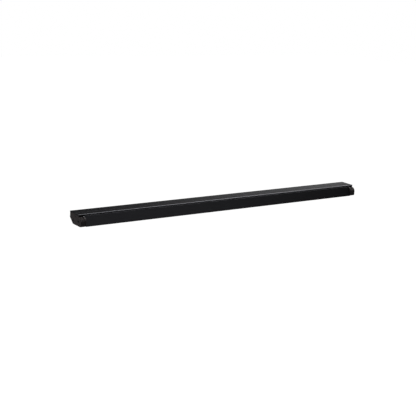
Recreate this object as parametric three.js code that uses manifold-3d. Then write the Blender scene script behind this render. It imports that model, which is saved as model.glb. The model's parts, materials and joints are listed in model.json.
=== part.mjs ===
// Slim wall-mounted vanity light bar: a fixed housing that hangs on a wall rail, and a lamp head
// that tilts between its two end cheeks.
// Millimetres. X runs along the bar, the wall is the plane Y = 0, the front faces -Y, +Z is up.
// The origin is the middle of the wall rail's back face.

import * as THREE from 'three';
import { mergeVertices } from 'three/addons/utils/BufferGeometryUtils.js';
import Module from 'manifold-3d';

const wasm = await Module();
wasm.setup();

// ---------------------------------------------------------------------------
// Driving dimensions
// ---------------------------------------------------------------------------

// Overall
const BAR_LENGTH = 900;
const TOP_DEPTH = 43.8; // wall to the front edge of the top plate
const BAR_HEIGHT = 29; // top face to the underside
const NOSE_REACH = 11; // how far the noses stand in front of the top plate

// Walls and clearances
const WALL = 1.8; // extruded walls
const TOP_WALL = 2; // top plate
const BACK_GAP = 0.4; // housing to the wall
const PART_GAP = 0.3; // between fixed parts that meet
const SEAT_GAP = 0.1; // between parts that lie on each other
const MOVE_GAP = 0.6; // between the housing and the tilting head
const CAP_GAP = 0.4; // end cheek to head cap
const OVERLAP = 0.1; // how far joined solids run into each other
const SCREW_GAP = 0.1; // radial, round a screw shank
const BORE_GAP = 0.25; // radial, round a screw head or boss

// Wall rail
const RAIL_HEIGHT = 10.2;
const RAIL_DEPTH = 5.3;
const RAIL_SHEET = 1.5;
const RAIL_END_INSET = 1; // rail end to the bar's end
const LOCK_HEAD_ABOVE_SLOPE = -2.4; // lock screw's head against the top of the slope
const SLOT_HEIGHT = 5;
const SLOT_LENGTH = 12;
const SLOT_FROM_CENTRE = 300;
const CABLE_X = 60; // cable entry along the bar
const CABLE_SLOT_HEIGHT = 6.6;
const CABLE_SLOT_LENGTH = 30;

// Housing section
const LIP_RADIUS = 2.6; // rounded front edge of the top plate
const LIP_DROP = 3; // top face to the lip's lower edge
const BACK_EDGE_RADIUS = 0.6;
const GROOVE_BEHIND_FRONT = 14.6;
const GROOVE_WIDTH = 1.2;
const GROOVE_DEPTH = 0.5;
const REAR_FACE_HEIGHT = 15; // upright back of the housing, from the top face down
const SLOPE_DEPTH = 16.6; // how far the sloping underside reaches from the wall
const SLOPE_RADIUS = 5;
const SLOPE_BEND = { rise: 2, run: 2.5 }; // the same corner on the moulded cheeks
const CHAMBER_CLEARANCE = 0.75; // driver to the chamber's walls, each side
const PORT_RADIUS = 2.8; // outside of an extruded screw port
const UPPER_PORT_AHEAD = 4.7; // in front of the web
const UPPER_PORT_DROP = 6.4; // below the top face
const LOWER_PORT_BEHIND = 3.3; // behind the web
const PORT_RIB = 1.6;

// Ends
const CHEEK_WIDTH = 12;
const CHEEK_TOP_GAP = 0.9; // shadow gap under the top plate
const CAP_WIDTH = 3;
const BAND_SETBACK = 0.6; // upright front band behind the lip
const PIVOT_BEHIND_FRONT = 0.3;
const PIVOT_DROP = 17.3; // pivot axis below the top face
const NOSE_CORNER_RADIUS = 4;
const NECK_RADIUS = 1; // hollow corner between the nose and the band
const ARCH_RADIUS = 4.6; // outside of the snap slot
const ARCH_SLOT = 2.8;
const ARCH_DROP = 3.4; // top face to the slot's crown
const ARCH_HEIGHT = 7;
const ARCH_DEPTH = 5;
const CREST_ANGLE = Math.PI * 0.42; // where the head cap's swing arc ends
const CREST_BEHIND_PIVOT = 9;
const CAP_SHOULDER = 1.5;
const CAP_CHAMFER = 0.6;

// Pivot
const PIN_RADIUS = 2.4;
const PIN_BORE_RADIUS = 1.35;
const PIN_HEAD_RADIUS = 4;
const PIN_HEAD_HEIGHT = 2;
const PIN_HEAD_SUNK = 0.3; // below the cheek's face
const PIN_CLEARANCE = 0.1; // radial, pin to bush
const PIN_TAIL = 1.2; // beyond the nut
const HEX_KEY_RADIUS = 2;
const HEX_KEY_DEPTH = 1.2;
const PIN_NECK = 0.5; // how far the pin's shank runs into its head
const BUSH_WALL = 1;
const BUSH_FLANGE_RADIUS = 4.4;
const BUSH_FLANGE = 1;
const WASHER_RADIUS = 6.5;
const WASHER_THICKNESS = 1.2;
const SPRING_WASHER_THICKNESS = 0.8;
const SPRING_WASHER_RADIUS = 4;
const NUT_RADIUS = 4.4; // over the corners
const NUT_HEIGHT = 2.6;
const NUT_NOTCH_LENGTH = 18; // notch in the board ledge round the nut
const LEAD_CHANNEL_WIDTH = 4;
const LEAD_CHANNEL_DEPTH = 6;

// Head
const FASCIA_TOP_GAP = 0.5; // head to the lip, measured along the swing radius
const FASCIA_TOP_RADIUS = 0.4;
const FASCIA_TOP_CANT = 0.25; // how far its top face falls inwards
const FASCIA_FOOT_INSET = 0.2; // fascia's bottom edge behind the nose
const LEDGE_UP = 8.6; // underside to the bottom of the board ledge
const LEDGE_THICKNESS = 1.6;
const FASCIA_TOP_SETBACK = 0.5; // behind the lip's front
const LIP_REACH = 4; // diffuser lips
const LIP_THICKNESS = 1.2;
const DIFFUSER_THICKNESS = 1.5;
const DIFFUSER_GAP = 0.4;
const DIFFUSER_RECESS = 0.2;
const REFLECTOR_THICKNESS = 0.8;
const CAP_PORT_RADIUS = 2.5;
const CAP_PORT_ABOVE_PIVOT = 10;
const CAP_PORT_BEHIND_PIVOT = 0.9;
const REAR_CAP_PORT_INSET = 3.6; // from the head's back face
const BOARD_THICKNESS = 1.2;
const BOARD_WIDTH = 15;
const BOARD_BEHIND_MIDDLE = 1.6;
const BOARD_SCREW_INSET = 20.25; // outer screws from the board's ends
const PAD_THICKNESS = 0.5;
const BOARD_END_INSET = 22; // board end to the channel end
const LED_PITCH = 12.5;
const LED_LENGTH = 3.5;
const LED_WIDTH = 2.8;
const LED_HEIGHT = 0.8;
const LED_END_INSET = 14;
const CONNECTOR_INSET = 2;
const CONNECTOR_LENGTH = 9;
const CONNECTOR_WIDTH = 7;
const CONNECTOR_HEIGHT = 3;
const CONNECTOR_HOLE = 3;

// Gear
const TRAY_THICKNESS = 1.2;
const TRAY_END = 6; // beyond the driver
const DRIVER_LENGTH = 240;
const DRIVER_WIDTH = 13.2;
const DRIVER_HEIGHT = 11.8;
const DRIVER_WALL = 1;
const DRIVER_HOLE = 3; // depth that clears the driver's end wall
const DRIVER_BOARD_THICKNESS = 1.2;
const DRIVER_BOARD_LIFT = 0.8; // middle of the board above the case's floor
const DRIVER_BOARD_INSET = 5; // from the case's end walls
const DRIVER_HEADROOM = 0.6;
// Boxed components: distance from the board's left end, length, side gap, top gap
const DRIVER_BOXES = [
  { from: 70, length: 20, side: 0.6, below: 0 },
  { from: 150, length: 12, side: 0.8, below: 1 },
  { from: 176, length: 14, side: 2.3, below: 2 },
];
const CAPACITORS = [14, 26, 108, 124]; // distances from the board's left end
const TERMINAL_LENGTH = 26;
const TERMINAL_WIDTH = 12;
const TERMINAL_HEIGHT = 10;
const TERMINAL_COUNT = 3;
const TERMINAL_WELL = 5;
const TERMINAL_HOLE = 4;
const TERMINAL_SCREW_SUNK = 0.6;
const EARTH_HOLE_UP = 2;
const EARTH_SCREW_ASIDE = 4.2; // from the chamber's middle
const TERMINAL_RIGHT_X = 22;
const WIRING_SPACE = 26; // terminal block to driver
const CLAMP_X = 36;
const CLAMP_LENGTH = 8;
const CLAMP_SHEET = 1.2;
const CORD_RADIUS = 3.1;
const GROMMET_RADIUS = 4.2;
const GROMMET_FLANGE_RADIUS = 5.4;
const GROMMET_FLANGE = 1.2;
const LEAD_RADIUS = 1;
const LOW_LEAD_RADIUS = 0.9;
const LEAD_ASIDE = 2.6; // mains leads from the chamber's middle
const LEAD_INSIDE = 2; // how far a lead runs into the terminal block
const LEAD_IN_DRIVER = 0.7;
const LEAD_STRAIGHT = 4; // straight run outside a hole
const BEND_RADIUS = 3.5; // low-voltage lead's turn into the hollow pin

// Screws: shank radius, head radius, head height
const CHEEK_SCREW = { shank: 1.4, head: 2.5, headHeight: 1.8, length: 24 };
const LOCK_SCREW = { shank: 1.25, head: 2.2, headHeight: 1.4, length: 8 };
const CAP_SCREW = { shank: 1.1, head: 2, headHeight: 1.3, length: 14 };
const BOARD_SCREW = { shank: 1, head: 2, headHeight: 1.2, length: 5.2 };
const SMALL_SCREW = { shank: 0.9, head: 1.6, headHeight: 1, length: 3.4 };
const TERMINAL_SCREW = { shank: 1, head: 1.4, headHeight: 0.9, length: 4 };
// Shares of the shank's radius (tip), the head's radius (crown, cross) and the head's height (rise, depth)
const SCREW_SHAPE = { tip: 0.6, tipRadius: 0.4, crown: 0.8, rise: 0.45, arm: 0.62, groove: 0.13, depth: 0.6 };

// ---------------------------------------------------------------------------
// Levels and planes worked out from them
// ---------------------------------------------------------------------------

const halfLength = BAR_LENGTH / 2;
const railTopZ = RAIL_HEIGHT / 2;
const topUnderZ = railTopZ + PART_GAP;
const topZ = topUnderZ + TOP_WALL;
const bottomZ = topZ - BAR_HEIGHT;
const backY = -BACK_GAP;
const frontY = -TOP_DEPTH;
const noseY = frontY - NOSE_REACH;
const bandY = frontY + BAND_SETBACK;
const pivotY = frontY + PIVOT_BEHIND_FRONT;
const pivotZ = topZ - PIVOT_DROP;
const noseRadius = pivotY - noseY;
const swingRadius = PIVOT_DROP - LIP_DROP - FASCIA_TOP_GAP;

const footTopZ = -railTopZ - PART_GAP;
const slopeTopZ = topZ - REAR_FACE_HEIGHT;
const backWallY = -RAIL_DEPTH - PART_GAP;
const chamberBackY = backWallY - WALL;
const webBackY = chamberBackY - DRIVER_WIDTH - 2 * CHAMBER_CLEARANCE;
const webFrontY = webBackY - WALL;
const channelFrontY = webBackY + PART_GAP;

const trayTopZ = footTopZ - WALL - PART_GAP;
const trayBottomZ = trayTopZ - TRAY_THICKNESS;
const upperPort = { y: webFrontY - UPPER_PORT_AHEAD, z: topZ - UPPER_PORT_DROP };
const lowerPort = { y: webBackY + LOWER_PORT_BEHIND, z: trayBottomZ - SEAT_GAP - PORT_RADIUS };

const cheekInnerX = halfLength - CHEEK_WIDTH;
const shellEndX = cheekInnerX - PART_GAP;
const capOuterX = cheekInnerX - CAP_GAP;
const capInnerX = capOuterX - CAP_WIDTH;
const channelEndX = capInnerX - SEAT_GAP;

const headBackY = webFrontY - MOVE_GAP;
const fasciaTop = { y: frontY - FASCIA_TOP_SETBACK, z: pivotZ + swingRadius - 0.1 };
const fasciaFoot = { y: noseY + FASCIA_FOOT_INSET, z: bottomZ };
const ledgeBottomZ = bottomZ + LEDGE_UP;
const ledgeTopZ = ledgeBottomZ + LEDGE_THICKNESS;
const boardY = (headBackY + noseY) / 2 + BOARD_BEHIND_MIDDLE;
const boardTopZ = ledgeBottomZ - PAD_THICKNESS - 2 * SEAT_GAP;
const boardBottomZ = boardTopZ - BOARD_THICKNESS;
const boardEndX = channelEndX - BOARD_END_INSET;
const boardScrewX = boardEndX - BOARD_SCREW_INSET;
const boardScrews = [
  { name: 'left', x: -boardScrewX },
  { name: 'middle', x: 0 },
  { name: 'right', x: boardScrewX },
];
const connector = {
  x: -boardEndX + CONNECTOR_INSET,
  y: boardY + (BOARD_WIDTH - CONNECTOR_WIDTH) / 2,
  z: boardBottomZ - SEAT_GAP - CONNECTOR_HEIGHT / 2,
};
const capPorts = {
  front: { y: pivotY + CAP_PORT_BEHIND_PIVOT, z: pivotZ + CAP_PORT_ABOVE_PIVOT },
  rear: { y: headBackY - REAR_CAP_PORT_INSET, z: ledgeTopZ + CAP_PORT_RADIUS - PART_GAP },
};

const terminalLeftX = TERMINAL_RIGHT_X - TERMINAL_LENGTH;
const driverRightX = terminalLeftX - WIRING_SPACE;
const driverLeftX = driverRightX - DRIVER_LENGTH;
const driverBottomZ = trayTopZ + SEAT_GAP;
const chamberY = (chamberBackY + webBackY) / 2;
const driverLeadZ = driverBottomZ + DRIVER_HEIGHT / 2;
const leadSides = [-LEAD_ASIDE, LEAD_ASIDE];
const terminalBottomZ = trayTopZ + SEAT_GAP;
const terminalPitch = TERMINAL_LENGTH / TERMINAL_COUNT;
const earthHoleZ = terminalBottomZ + EARTH_HOLE_UP;
const clampScrewYs = [-1, 1].map((way) => chamberY + way * (DRIVER_WIDTH / 2 - SMALL_SCREW.head));
const earthScrewX = terminalLeftX - WIRING_SPACE / 2;
const earthScrewY = chamberY + EARTH_SCREW_ASIDE;
const lockX = halfLength - CHEEK_WIDTH / 2;
const lockY = -(RAIL_DEPTH + RAIL_SHEET) / 2;
const lockHeadZ = slopeTopZ + LOCK_HEAD_ABOVE_SLOPE;

// ---------------------------------------------------------------------------
// Materials
// ---------------------------------------------------------------------------

/** A standard material from its colour, roughness and metalness. */
function finish(color, roughness, metalness) {
  return new THREE.MeshStandardMaterial({ color, roughness, metalness });
}

const blackAluminium = finish(0x1c1c1e, 0.42, 0.6);
const blackSteel = finish(0x141414, 0.55, 0.5);
const charcoalPlastic = finish(0x3a3738, 0.6, 0);
const zincSteel = finish(0xb4b6b8, 0.35, 1);
const blackScrewSteel = finish(0x242424, 0.45, 0.9);
const whiteNylon = finish(0xe6e2d8, 0.5, 0);
const rubber = finish(0x101010, 0.85, 0);
const opalAcrylic = finish(0xf4f4f0, 0.35, 0);
const whiteBoard = finish(0xf0f2f0, 0.45, 0);
const whiteReflector = finish(0xfafafa, 0.3, 0);
const greyPad = finish(0x8c8f94, 0.8, 0);
const driverPlastic = finish(0xececea, 0.55, 0);
const greenBoard = finish(0x1d5c34, 0.5, 0);
const terminalPlastic = finish(0xdcdcd6, 0.5, 0);
const brownLead = finish(0x6b3a1e, 0.55, 0);
const blueLead = finish(0x2f64b4, 0.55, 0);
const greenYellowLead = finish(0x9cae2e, 0.55, 0);
const whiteLead = finish(0xe8e8e8, 0.55, 0);

// ---------------------------------------------------------------------------
// Shape helpers
// ---------------------------------------------------------------------------

const group = new THREE.Group();
const ARC_SEGMENTS = 8;
const ROUND_SEGMENTS = 20;

/** A closed solid, ready for cutting and joining, from a three.js geometry. */
function solid(geometry) {
  const bare = geometry.clone();
  bare.deleteAttribute('normal');
  bare.deleteAttribute('uv');
  const merged = mergeVertices(bare);
  const vertProperties = new Float32Array(merged.attributes.position.array);
  const triVerts = new Uint32Array(merged.index.array);
  return new wasm.Manifold(new wasm.Mesh({ numProp: 3, vertProperties, triVerts }));
}

/** All the solids joined into the first. */
function join(first, ...others) {
  return others.reduce((whole, other) => whole.add(other), first);
}

/** The first solid with all the others cut away. */
function cut(first, ...others) {
  return others.reduce((whole, other) => whole.subtract(other), first);
}

/** Adds a solid to the model as a named mesh. */
function place(name, shape, material) {
  const { numProp, vertProperties, triVerts } = shape.getMesh();
  const geometry = new THREE.BufferGeometry();
  const corners = new Float32Array((vertProperties.length / numProp) * 3);
  for (let i = 0; i < corners.length / 3; i += 1) {
    corners.set(vertProperties.slice(i * numProp, i * numProp + 3), i * 3);
  }
  geometry.setAttribute('position', new THREE.BufferAttribute(corners, 3));
  geometry.setIndex(new THREE.BufferAttribute(new Uint32Array(triVerts), 1));
  geometry.computeVertexNormals();
  const mesh = new THREE.Mesh(geometry, material);
  mesh.name = name;
  group.add(mesh);
}

/** A box between two values on each axis, given in any order. */
function box(xa, xb, ya, yb, za, zb) {
  const geometry = new THREE.BoxGeometry(Math.abs(xb - xa), Math.abs(yb - ya), Math.abs(zb - za));
  geometry.translate((xa + xb) / 2, (ya + yb) / 2, (za + zb) / 2);
  return solid(geometry);
}

/** A closed outline through corners { y, z, r }, with each corner rounded to its radius r. */
function outline(corners) {
  const shape = new THREE.Shape();
  const count = corners.length;
  corners.forEach((corner, index) => {
    const here = new THREE.Vector2(corner.y, corner.z);
    const before = corners[(index + count - 1) % count];
    const after = corners[(index + 1) % count];
    const toBefore = new THREE.Vector2(before.y, before.z).sub(here).normalize();
    const toAfter = new THREE.Vector2(after.y, after.z).sub(here).normalize();
    const draw = index === 0 ? 'moveTo' : 'lineTo';
    if (!corner.r) {
      shape[draw](here.x, here.y);
      return;
    }
    const half = Math.acos(THREE.MathUtils.clamp(toBefore.dot(toAfter), -1, 1)) / 2;
    const start = toBefore.clone().multiplyScalar(corner.r / Math.tan(half)).add(here);
    const end = toAfter.clone().multiplyScalar(corner.r / Math.tan(half)).add(here);
    const middle = toBefore.clone().add(toAfter).normalize();
    const centre = middle.multiplyScalar(corner.r / Math.sin(half)).add(here);
    const from = Math.atan2(start.y - centre.y, start.x - centre.x);
    const to = Math.atan2(end.y - centre.y, end.x - centre.x);
    const clockwise = toBefore.cross(toAfter) > 0;
    shape[draw](start.x, start.y);
    shape.absarc(centre.x, centre.y, corner.r, from, to, clockwise);
  });
  shape.closePath();
  return shape;
}

/** A Y-Z outline drawn out along X. */
function prism(shape, xa, xb) {
  const depth = Math.abs(xb - xa);
  const options = { depth, bevelEnabled: false, curveSegments: ARC_SEGMENTS };
  const geometry = new THREE.ExtrudeGeometry(shape, options);
  const turn = new THREE.Matrix4().makeBasis(
    new THREE.Vector3(0, 1, 0),
    new THREE.Vector3(0, 0, 1),
    new THREE.Vector3(1, 0, 0),
  );
  geometry.applyMatrix4(turn);
  geometry.translate(Math.min(xa, xb), 0, 0);
  return solid(geometry);
}

/** A cylinder along X. */
function rodX(xa, xb, y, z, radius, sides = ROUND_SEGMENTS) {
  const geometry = new THREE.CylinderGeometry(radius, radius, Math.abs(xb - xa), sides);
  geometry.rotateZ(Math.PI / 2);
  geometry.translate((xa + xb) / 2, y, z);
  return solid(geometry);
}

/** A cylinder along Y. */
function rodY(x, ya, yb, z, radius, sides = ROUND_SEGMENTS) {
  const geometry = new THREE.CylinderGeometry(radius, radius, Math.abs(yb - ya), sides);
  geometry.translate(x, (ya + yb) / 2, z);
  return solid(geometry);
}

/** A cylinder along Z. */
function rodZ(x, y, za, zb, radius, sides = ROUND_SEGMENTS) {
  const geometry = new THREE.CylinderGeometry(radius, radius, Math.abs(zb - za), sides);
  geometry.rotateX(Math.PI / 2);
  geometry.translate(x, y, (za + zb) / 2);
  return solid(geometry);
}

/** A round-ended slot cut through a wall along Y, its length along X. */
function slotY(x, z, length, height, ya, yb) {
  const reach = (length - height) / 2;
  return join(
    box(x - reach, x + reach, ya, yb, z - height / 2, z + height / 2),
    rodY(x - reach, ya, yb, z, height / 2),
    rodY(x + reach, ya, yb, z, height / 2),
  );
}

/** A pan-head screw: head face at the given point, shank along the given direction. */
function screw(kind, at, along) {
  const tip = kind.shank * SCREW_SHAPE.tip;
  const profile = [
    [0, 0],
    [kind.head * SCREW_SHAPE.crown, 0],
    [kind.head, kind.headHeight * SCREW_SHAPE.rise],
    [kind.head, kind.headHeight],
    [kind.shank, kind.headHeight],
    [kind.shank, kind.length - tip],
    [kind.shank * SCREW_SHAPE.tipRadius, kind.length],
    [0, kind.length],
  ].map(([radius, height]) => new THREE.Vector2(radius, height));
  const body = solid(new THREE.LatheGeometry(profile, 12));
  const arm = kind.head * SCREW_SHAPE.arm;
  const groove = kind.head * SCREW_SHAPE.groove;
  const deep = kind.headHeight * SCREW_SHAPE.depth;
  const driven = cut(
    body,
    box(-arm, arm, -1, deep, -groove, groove),
    box(-groove, groove, -1, deep, -arm, arm),
  );
  const direction = new THREE.Vector3(...along);
  const turn = new THREE.Quaternion().setFromUnitVectors(new THREE.Vector3(0, 1, 0), direction);
  const matrix = new THREE.Matrix4().compose(new THREE.Vector3(...at), turn, new THREE.Vector3(1, 1, 1));
  return driven.transform(matrix.toArray());
}

/** A round lead through points. */
function lead(points, radius, steps) {
  const spots = points.map((point) => new THREE.Vector3(...point));
  const path = new THREE.CatmullRomCurve3(spots, false, 'centripetal');
  const section = new THREE.Shape();
  section.absarc(0, 0, radius, 0, Math.PI * 2, false);
  const options = { steps, bevelEnabled: false, extrudePath: path, curveSegments: 4 };
  return solid(new THREE.ExtrudeGeometry(section, options));
}

/** The Y of the sloping underside at a height, moved into the housing by a distance. */
function slopeY(z, inward) {
  const run = SLOPE_DEPTH - BACK_GAP;
  const rise = slopeTopZ - bottomZ;
  return backY - ((slopeTopZ - z) * run + inward * Math.hypot(run, rise)) / rise;
}

/** The Y of the fascia's front plane at a height, moved into the head by a distance. */
function fasciaY(z, inward) {
  const run = fasciaTop.y - fasciaFoot.y;
  const rise = fasciaTop.z - fasciaFoot.z;
  return fasciaTop.y - ((fasciaTop.z - z) * run) / rise + (inward * Math.hypot(run, rise)) / rise;
}

// ---------------------------------------------------------------------------
// Wall rail
// ---------------------------------------------------------------------------

/** A shallow channel, open to the front, with mounting slots and a cable slot. */
function makeWallRail() {
  const end = halfLength - RAIL_END_INSET;
  const inner = railTopZ - RAIL_SHEET;
  const channel = cut(
    box(-end, end, -RAIL_DEPTH, 0, -railTopZ, railTopZ),
    box(-end - 1, end + 1, -RAIL_DEPTH - 1, -RAIL_SHEET, -inner, inner),
  );
  const slots = [-SLOT_FROM_CENTRE, SLOT_FROM_CENTRE].map((x) =>
    slotY(x, 0, SLOT_LENGTH, SLOT_HEIGHT, -RAIL_SHEET - 1, 1));
  const cableSlot = slotY(CABLE_X, 0, CABLE_SLOT_LENGTH, CABLE_SLOT_HEIGHT, -RAIL_SHEET - 1, 1);
  const lockHoles = [-1, 1].map((side) =>
    rodZ(side * lockX, lockY, -railTopZ - 1, -inner + 1, LOCK_SCREW.shank + SCREW_GAP));
  return cut(channel, ...slots, cableSlot, ...lockHoles);
}

// ---------------------------------------------------------------------------
// Housing
// ---------------------------------------------------------------------------

/** Back wall, foot, sloping underside and lower screw port, in one extrusion. */
function makeRearChannel() {
  const floorZ = bottomZ + WALL;
  const footUnderZ = footTopZ - WALL;
  const section = outline([
    { y: backWallY, z: railTopZ },
    { y: backWallY, z: footTopZ },
    { y: backY, z: footTopZ },
    { y: backY, z: slopeTopZ },
    { y: slopeY(bottomZ, 0), z: bottomZ, r: SLOPE_RADIUS },
    { y: channelFrontY, z: bottomZ },
    { y: channelFrontY, z: floorZ },
    { y: slopeY(floorZ, WALL), z: floorZ, r: SLOPE_RADIUS - WALL },
    { y: slopeY(footUnderZ, WALL), z: footUnderZ },
    { y: chamberBackY, z: footUnderZ },
    { y: chamberBackY, z: railTopZ },
  ]);
  const { y, z } = lowerPort;
  const port = join(
    rodX(-shellEndX, shellEndX, y, z, PORT_RADIUS),
    box(-shellEndX, shellEndX, y - PORT_RIB / 2, y + PORT_RIB / 2, floorZ - WALL / 2, z),
  );
  return cut(
    join(prism(section, -shellEndX, shellEndX), port),
    rodX(-halfLength, halfLength, y, z, CHEEK_SCREW.shank + SCREW_GAP),
    rodY(CABLE_X, backWallY + 1, chamberBackY - 1, 0, GROMMET_RADIUS + SCREW_GAP),
  );
}

/** Top plate with its rounded lip and groove, the web and the upper screw port. */
function makeTopCover() {
  const plate = outline([
    { y: backY, z: topZ, r: BACK_EDGE_RADIUS },
    { y: backY, z: topUnderZ },
    { y: frontY + WALL, z: topUnderZ },
    { y: frontY + WALL, z: topZ - LIP_DROP },
    { y: frontY, z: topZ - LIP_DROP },
    { y: frontY, z: topZ, r: LIP_RADIUS },
  ]);
  const { y, z } = upperPort;
  const below = join(
    box(-shellEndX, shellEndX, webFrontY, webBackY, bottomZ, topUnderZ + TOP_WALL / 2),
    rodX(-shellEndX, shellEndX, y, z, PORT_RADIUS),
    box(-shellEndX, shellEndX, y - PORT_RIB / 2, y + PORT_RIB / 2, z, topUnderZ + TOP_WALL / 2),
  );
  const grooveY = frontY + GROOVE_BEHIND_FRONT;
  return cut(
    join(prism(plate, -halfLength, halfLength), below),
    box(-halfLength - 1, halfLength + 1, grooveY - GROOVE_WIDTH / 2, grooveY + GROOVE_WIDTH / 2,
      topZ - GROOVE_DEPTH, topZ + 1),
    rodX(-shellEndX - 1, shellEndX + 1, y, z, CHEEK_SCREW.shank + SCREW_GAP),
  );
}

// ---------------------------------------------------------------------------
// Ends
// ---------------------------------------------------------------------------

/** The nose and front band shared by the end cheeks and the head caps, from the bottom up. */
function noseOutline(shape, topLevel) {
  shape.lineTo(noseY + NOSE_CORNER_RADIUS, bottomZ);
  shape.absarc(noseY + NOSE_CORNER_RADIUS, bottomZ + NOSE_CORNER_RADIUS, NOSE_CORNER_RADIUS,
    -Math.PI / 2, -Math.PI, true);
  const neckY = bandY - NECK_RADIUS;
  const reach = noseRadius + NECK_RADIUS;
  const neckAngle = Math.acos((neckY - pivotY) / reach);
  const neckZ = pivotZ + reach * Math.sin(neckAngle);
  shape.absarc(pivotY, pivotZ, noseRadius, Math.PI, neckAngle, true);
  shape.absarc(neckY, neckZ, NECK_RADIUS, neckAngle - Math.PI, 0, false);
  shape.lineTo(bandY, topLevel);
}

/** The fixed end piece: full section of the housing, with the pivot boss and the rail's notch. */
function makeEndCheek(side) {
  const topLevel = topUnderZ - CHEEK_TOP_GAP;
  const shape = new THREE.Shape();
  shape.moveTo(backY, slopeTopZ);
  const bendZ = bottomZ + SLOPE_BEND.rise;
  shape.lineTo(slopeY(bendZ, 0), bendZ);
  shape.quadraticCurveTo(slopeY(bottomZ, 0), bottomZ, slopeY(bottomZ, 0) - SLOPE_BEND.run, bottomZ);
  noseOutline(shape, topLevel);
  shape.lineTo(backWallY, topLevel);
  shape.lineTo(backWallY, footTopZ);
  shape.lineTo(backY, footTopZ);
  shape.closePath();
  const outer = side * halfLength;
  const inner = side * cheekInnerX;
  const lipRelief = box(outer + side, inner - side, frontY - 1, frontY + WALL + PART_GAP,
    topZ - LIP_DROP - PART_GAP, topZ);
  const face = outer - side * PIN_HEAD_SUNK;
  const pinSeat = face - side * PIN_HEAD_HEIGHT;
  const channelFloor = inner + side * LEAD_CHANNEL_DEPTH;
  const washerFloor = inner + side * (WASHER_THICKNESS + 2 * SEAT_GAP - CAP_GAP);
  const cuts = [
    lipRelief,
    rodX(outer + side, pinSeat, pivotY, pivotZ, PIN_HEAD_RADIUS + BORE_GAP),
    rodX(outer, inner - side, pivotY, pivotZ, PIN_RADIUS + SCREW_GAP),
    rodX(inner - side, washerFloor, pivotY, pivotZ, WASHER_RADIUS + BORE_GAP),
    leadChannel(inner - side, channelFloor),
    snapSlot(side),
  ];
  for (const port of [upperPort, lowerPort]) {
    const seat = face - side * CHEEK_SCREW.headHeight;
    cuts.push(rodX(outer + side, seat, port.y, port.z, CHEEK_SCREW.head + BORE_GAP));
    cuts.push(rodX(outer, inner - side, port.y, port.z, CHEEK_SCREW.shank + SCREW_GAP));
  }
  cuts.push(rodZ(side * lockX, lockY, footTopZ + 1, bottomZ, LOCK_SCREW.shank + SCREW_GAP));
  cuts.push(rodZ(side * lockX, lockY, lockHeadZ + LOCK_SCREW.headHeight, bottomZ,
    LOCK_SCREW.head + BORE_GAP));
  return cut(prism(shape, outer, inner), ...cuts);
}

/** The open channel in the cheek that takes the lead from the gear chamber to the pivot. */
function leadChannel(xa, xb) {
  const run = chamberY - pivotY;
  const rise = driverLeadZ - pivotZ;
  const slope = Math.atan2(rise, run);
  const half = LEAD_CHANNEL_WIDTH / 2;
  const along = (distance, across) => ({
    y: pivotY + distance * Math.cos(slope) - across * Math.sin(slope),
    z: pivotZ + distance * Math.sin(slope) + across * Math.cos(slope),
  });
  const length = Math.hypot(run, rise);
  return join(
    prism(outline([along(0, half), along(0, -half), along(length, -half), along(length, half)]), xa, xb),
    rodX(xa, xb, chamberY, driverLeadZ, half),
  );
}

/** The arch-shaped slot that frees a snap tongue in the cheek's front band. */
function snapSlot(side) {
  const x = side * (halfLength - CHEEK_WIDTH / 2);
  const crownZ = topZ - ARCH_DROP;
  const centreZ = crownZ - ARCH_RADIUS;
  const footZ = crownZ - ARCH_HEIGHT;
  const ya = noseY - 1;
  const yb = bandY + ARCH_DEPTH;
  const inner = ARCH_RADIUS - ARCH_SLOT;
  return cut(
    join(
      rodY(x, ya, yb, centreZ, ARCH_RADIUS),
      box(x - ARCH_RADIUS, x + ARCH_RADIUS, ya, yb, footZ, centreZ),
    ),
    join(
      rodY(x, ya - 1, yb + 1, centreZ, inner),
      box(x - inner, x + inner, ya - 1, yb + 1, footZ - 1, centreZ),
    ),
  );
}

// ---------------------------------------------------------------------------
// Pivot
// ---------------------------------------------------------------------------

/** Positions along X of the stack on one pivot, from the cheek's face inwards. */
function pivotStack(side) {
  const headFace = side * (halfLength - PIN_HEAD_SUNK);
  const washerInner = side * (capOuterX + SEAT_GAP);
  const washerOuter = washerInner + side * WASHER_THICKNESS;
  const bushOuter = side * (capOuterX - SEAT_GAP);
  const bushSeat = side * (capInnerX - SEAT_GAP);
  const bushInner = bushSeat - side * BUSH_FLANGE;
  const springOuter = bushInner - side * SEAT_GAP;
  const springInner = springOuter - side * SPRING_WASHER_THICKNESS;
  const nutOuter = springInner - side * SEAT_GAP;
  const nutInner = nutOuter - side * NUT_HEIGHT;
  const pinEnd = nutInner - side * PIN_TAIL;
  return {
    headFace, washerInner, washerOuter, bushOuter, bushSeat, bushInner, springOuter, springInner,
    nutOuter, nutInner, pinEnd,
  };
}

/** A pin with a sunk head, bored from its inner end and open at the side for the lead. */
function makePivotPin(side) {
  const { headFace, washerOuter, pinEnd } = pivotStack(side);
  const headInner = headFace - side * PIN_HEAD_HEIGHT;
  const boreEnd = side * (cheekInnerX + LEAD_CHANNEL_DEPTH);
  const slotTopZ = pivotZ + PIN_BORE_RADIUS + MOVE_GAP;
  return cut(
    join(
      rodX(headFace, headInner + side * OVERLAP, pivotY, pivotZ, PIN_HEAD_RADIUS),
      rodX(headInner + side * PIN_NECK, pinEnd, pivotY, pivotZ, PIN_RADIUS),
    ),
    rodX(headFace + side, headFace - side * HEX_KEY_DEPTH, pivotY, pivotZ, HEX_KEY_RADIUS, 6),
    rodX(boreEnd, pinEnd - side, pivotY, pivotZ, PIN_BORE_RADIUS, 16),
    box(boreEnd, washerOuter, pivotY, pivotY + PIN_RADIUS + 1, pivotZ - PIN_BORE_RADIUS, slotTopZ),
  );
}

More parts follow.
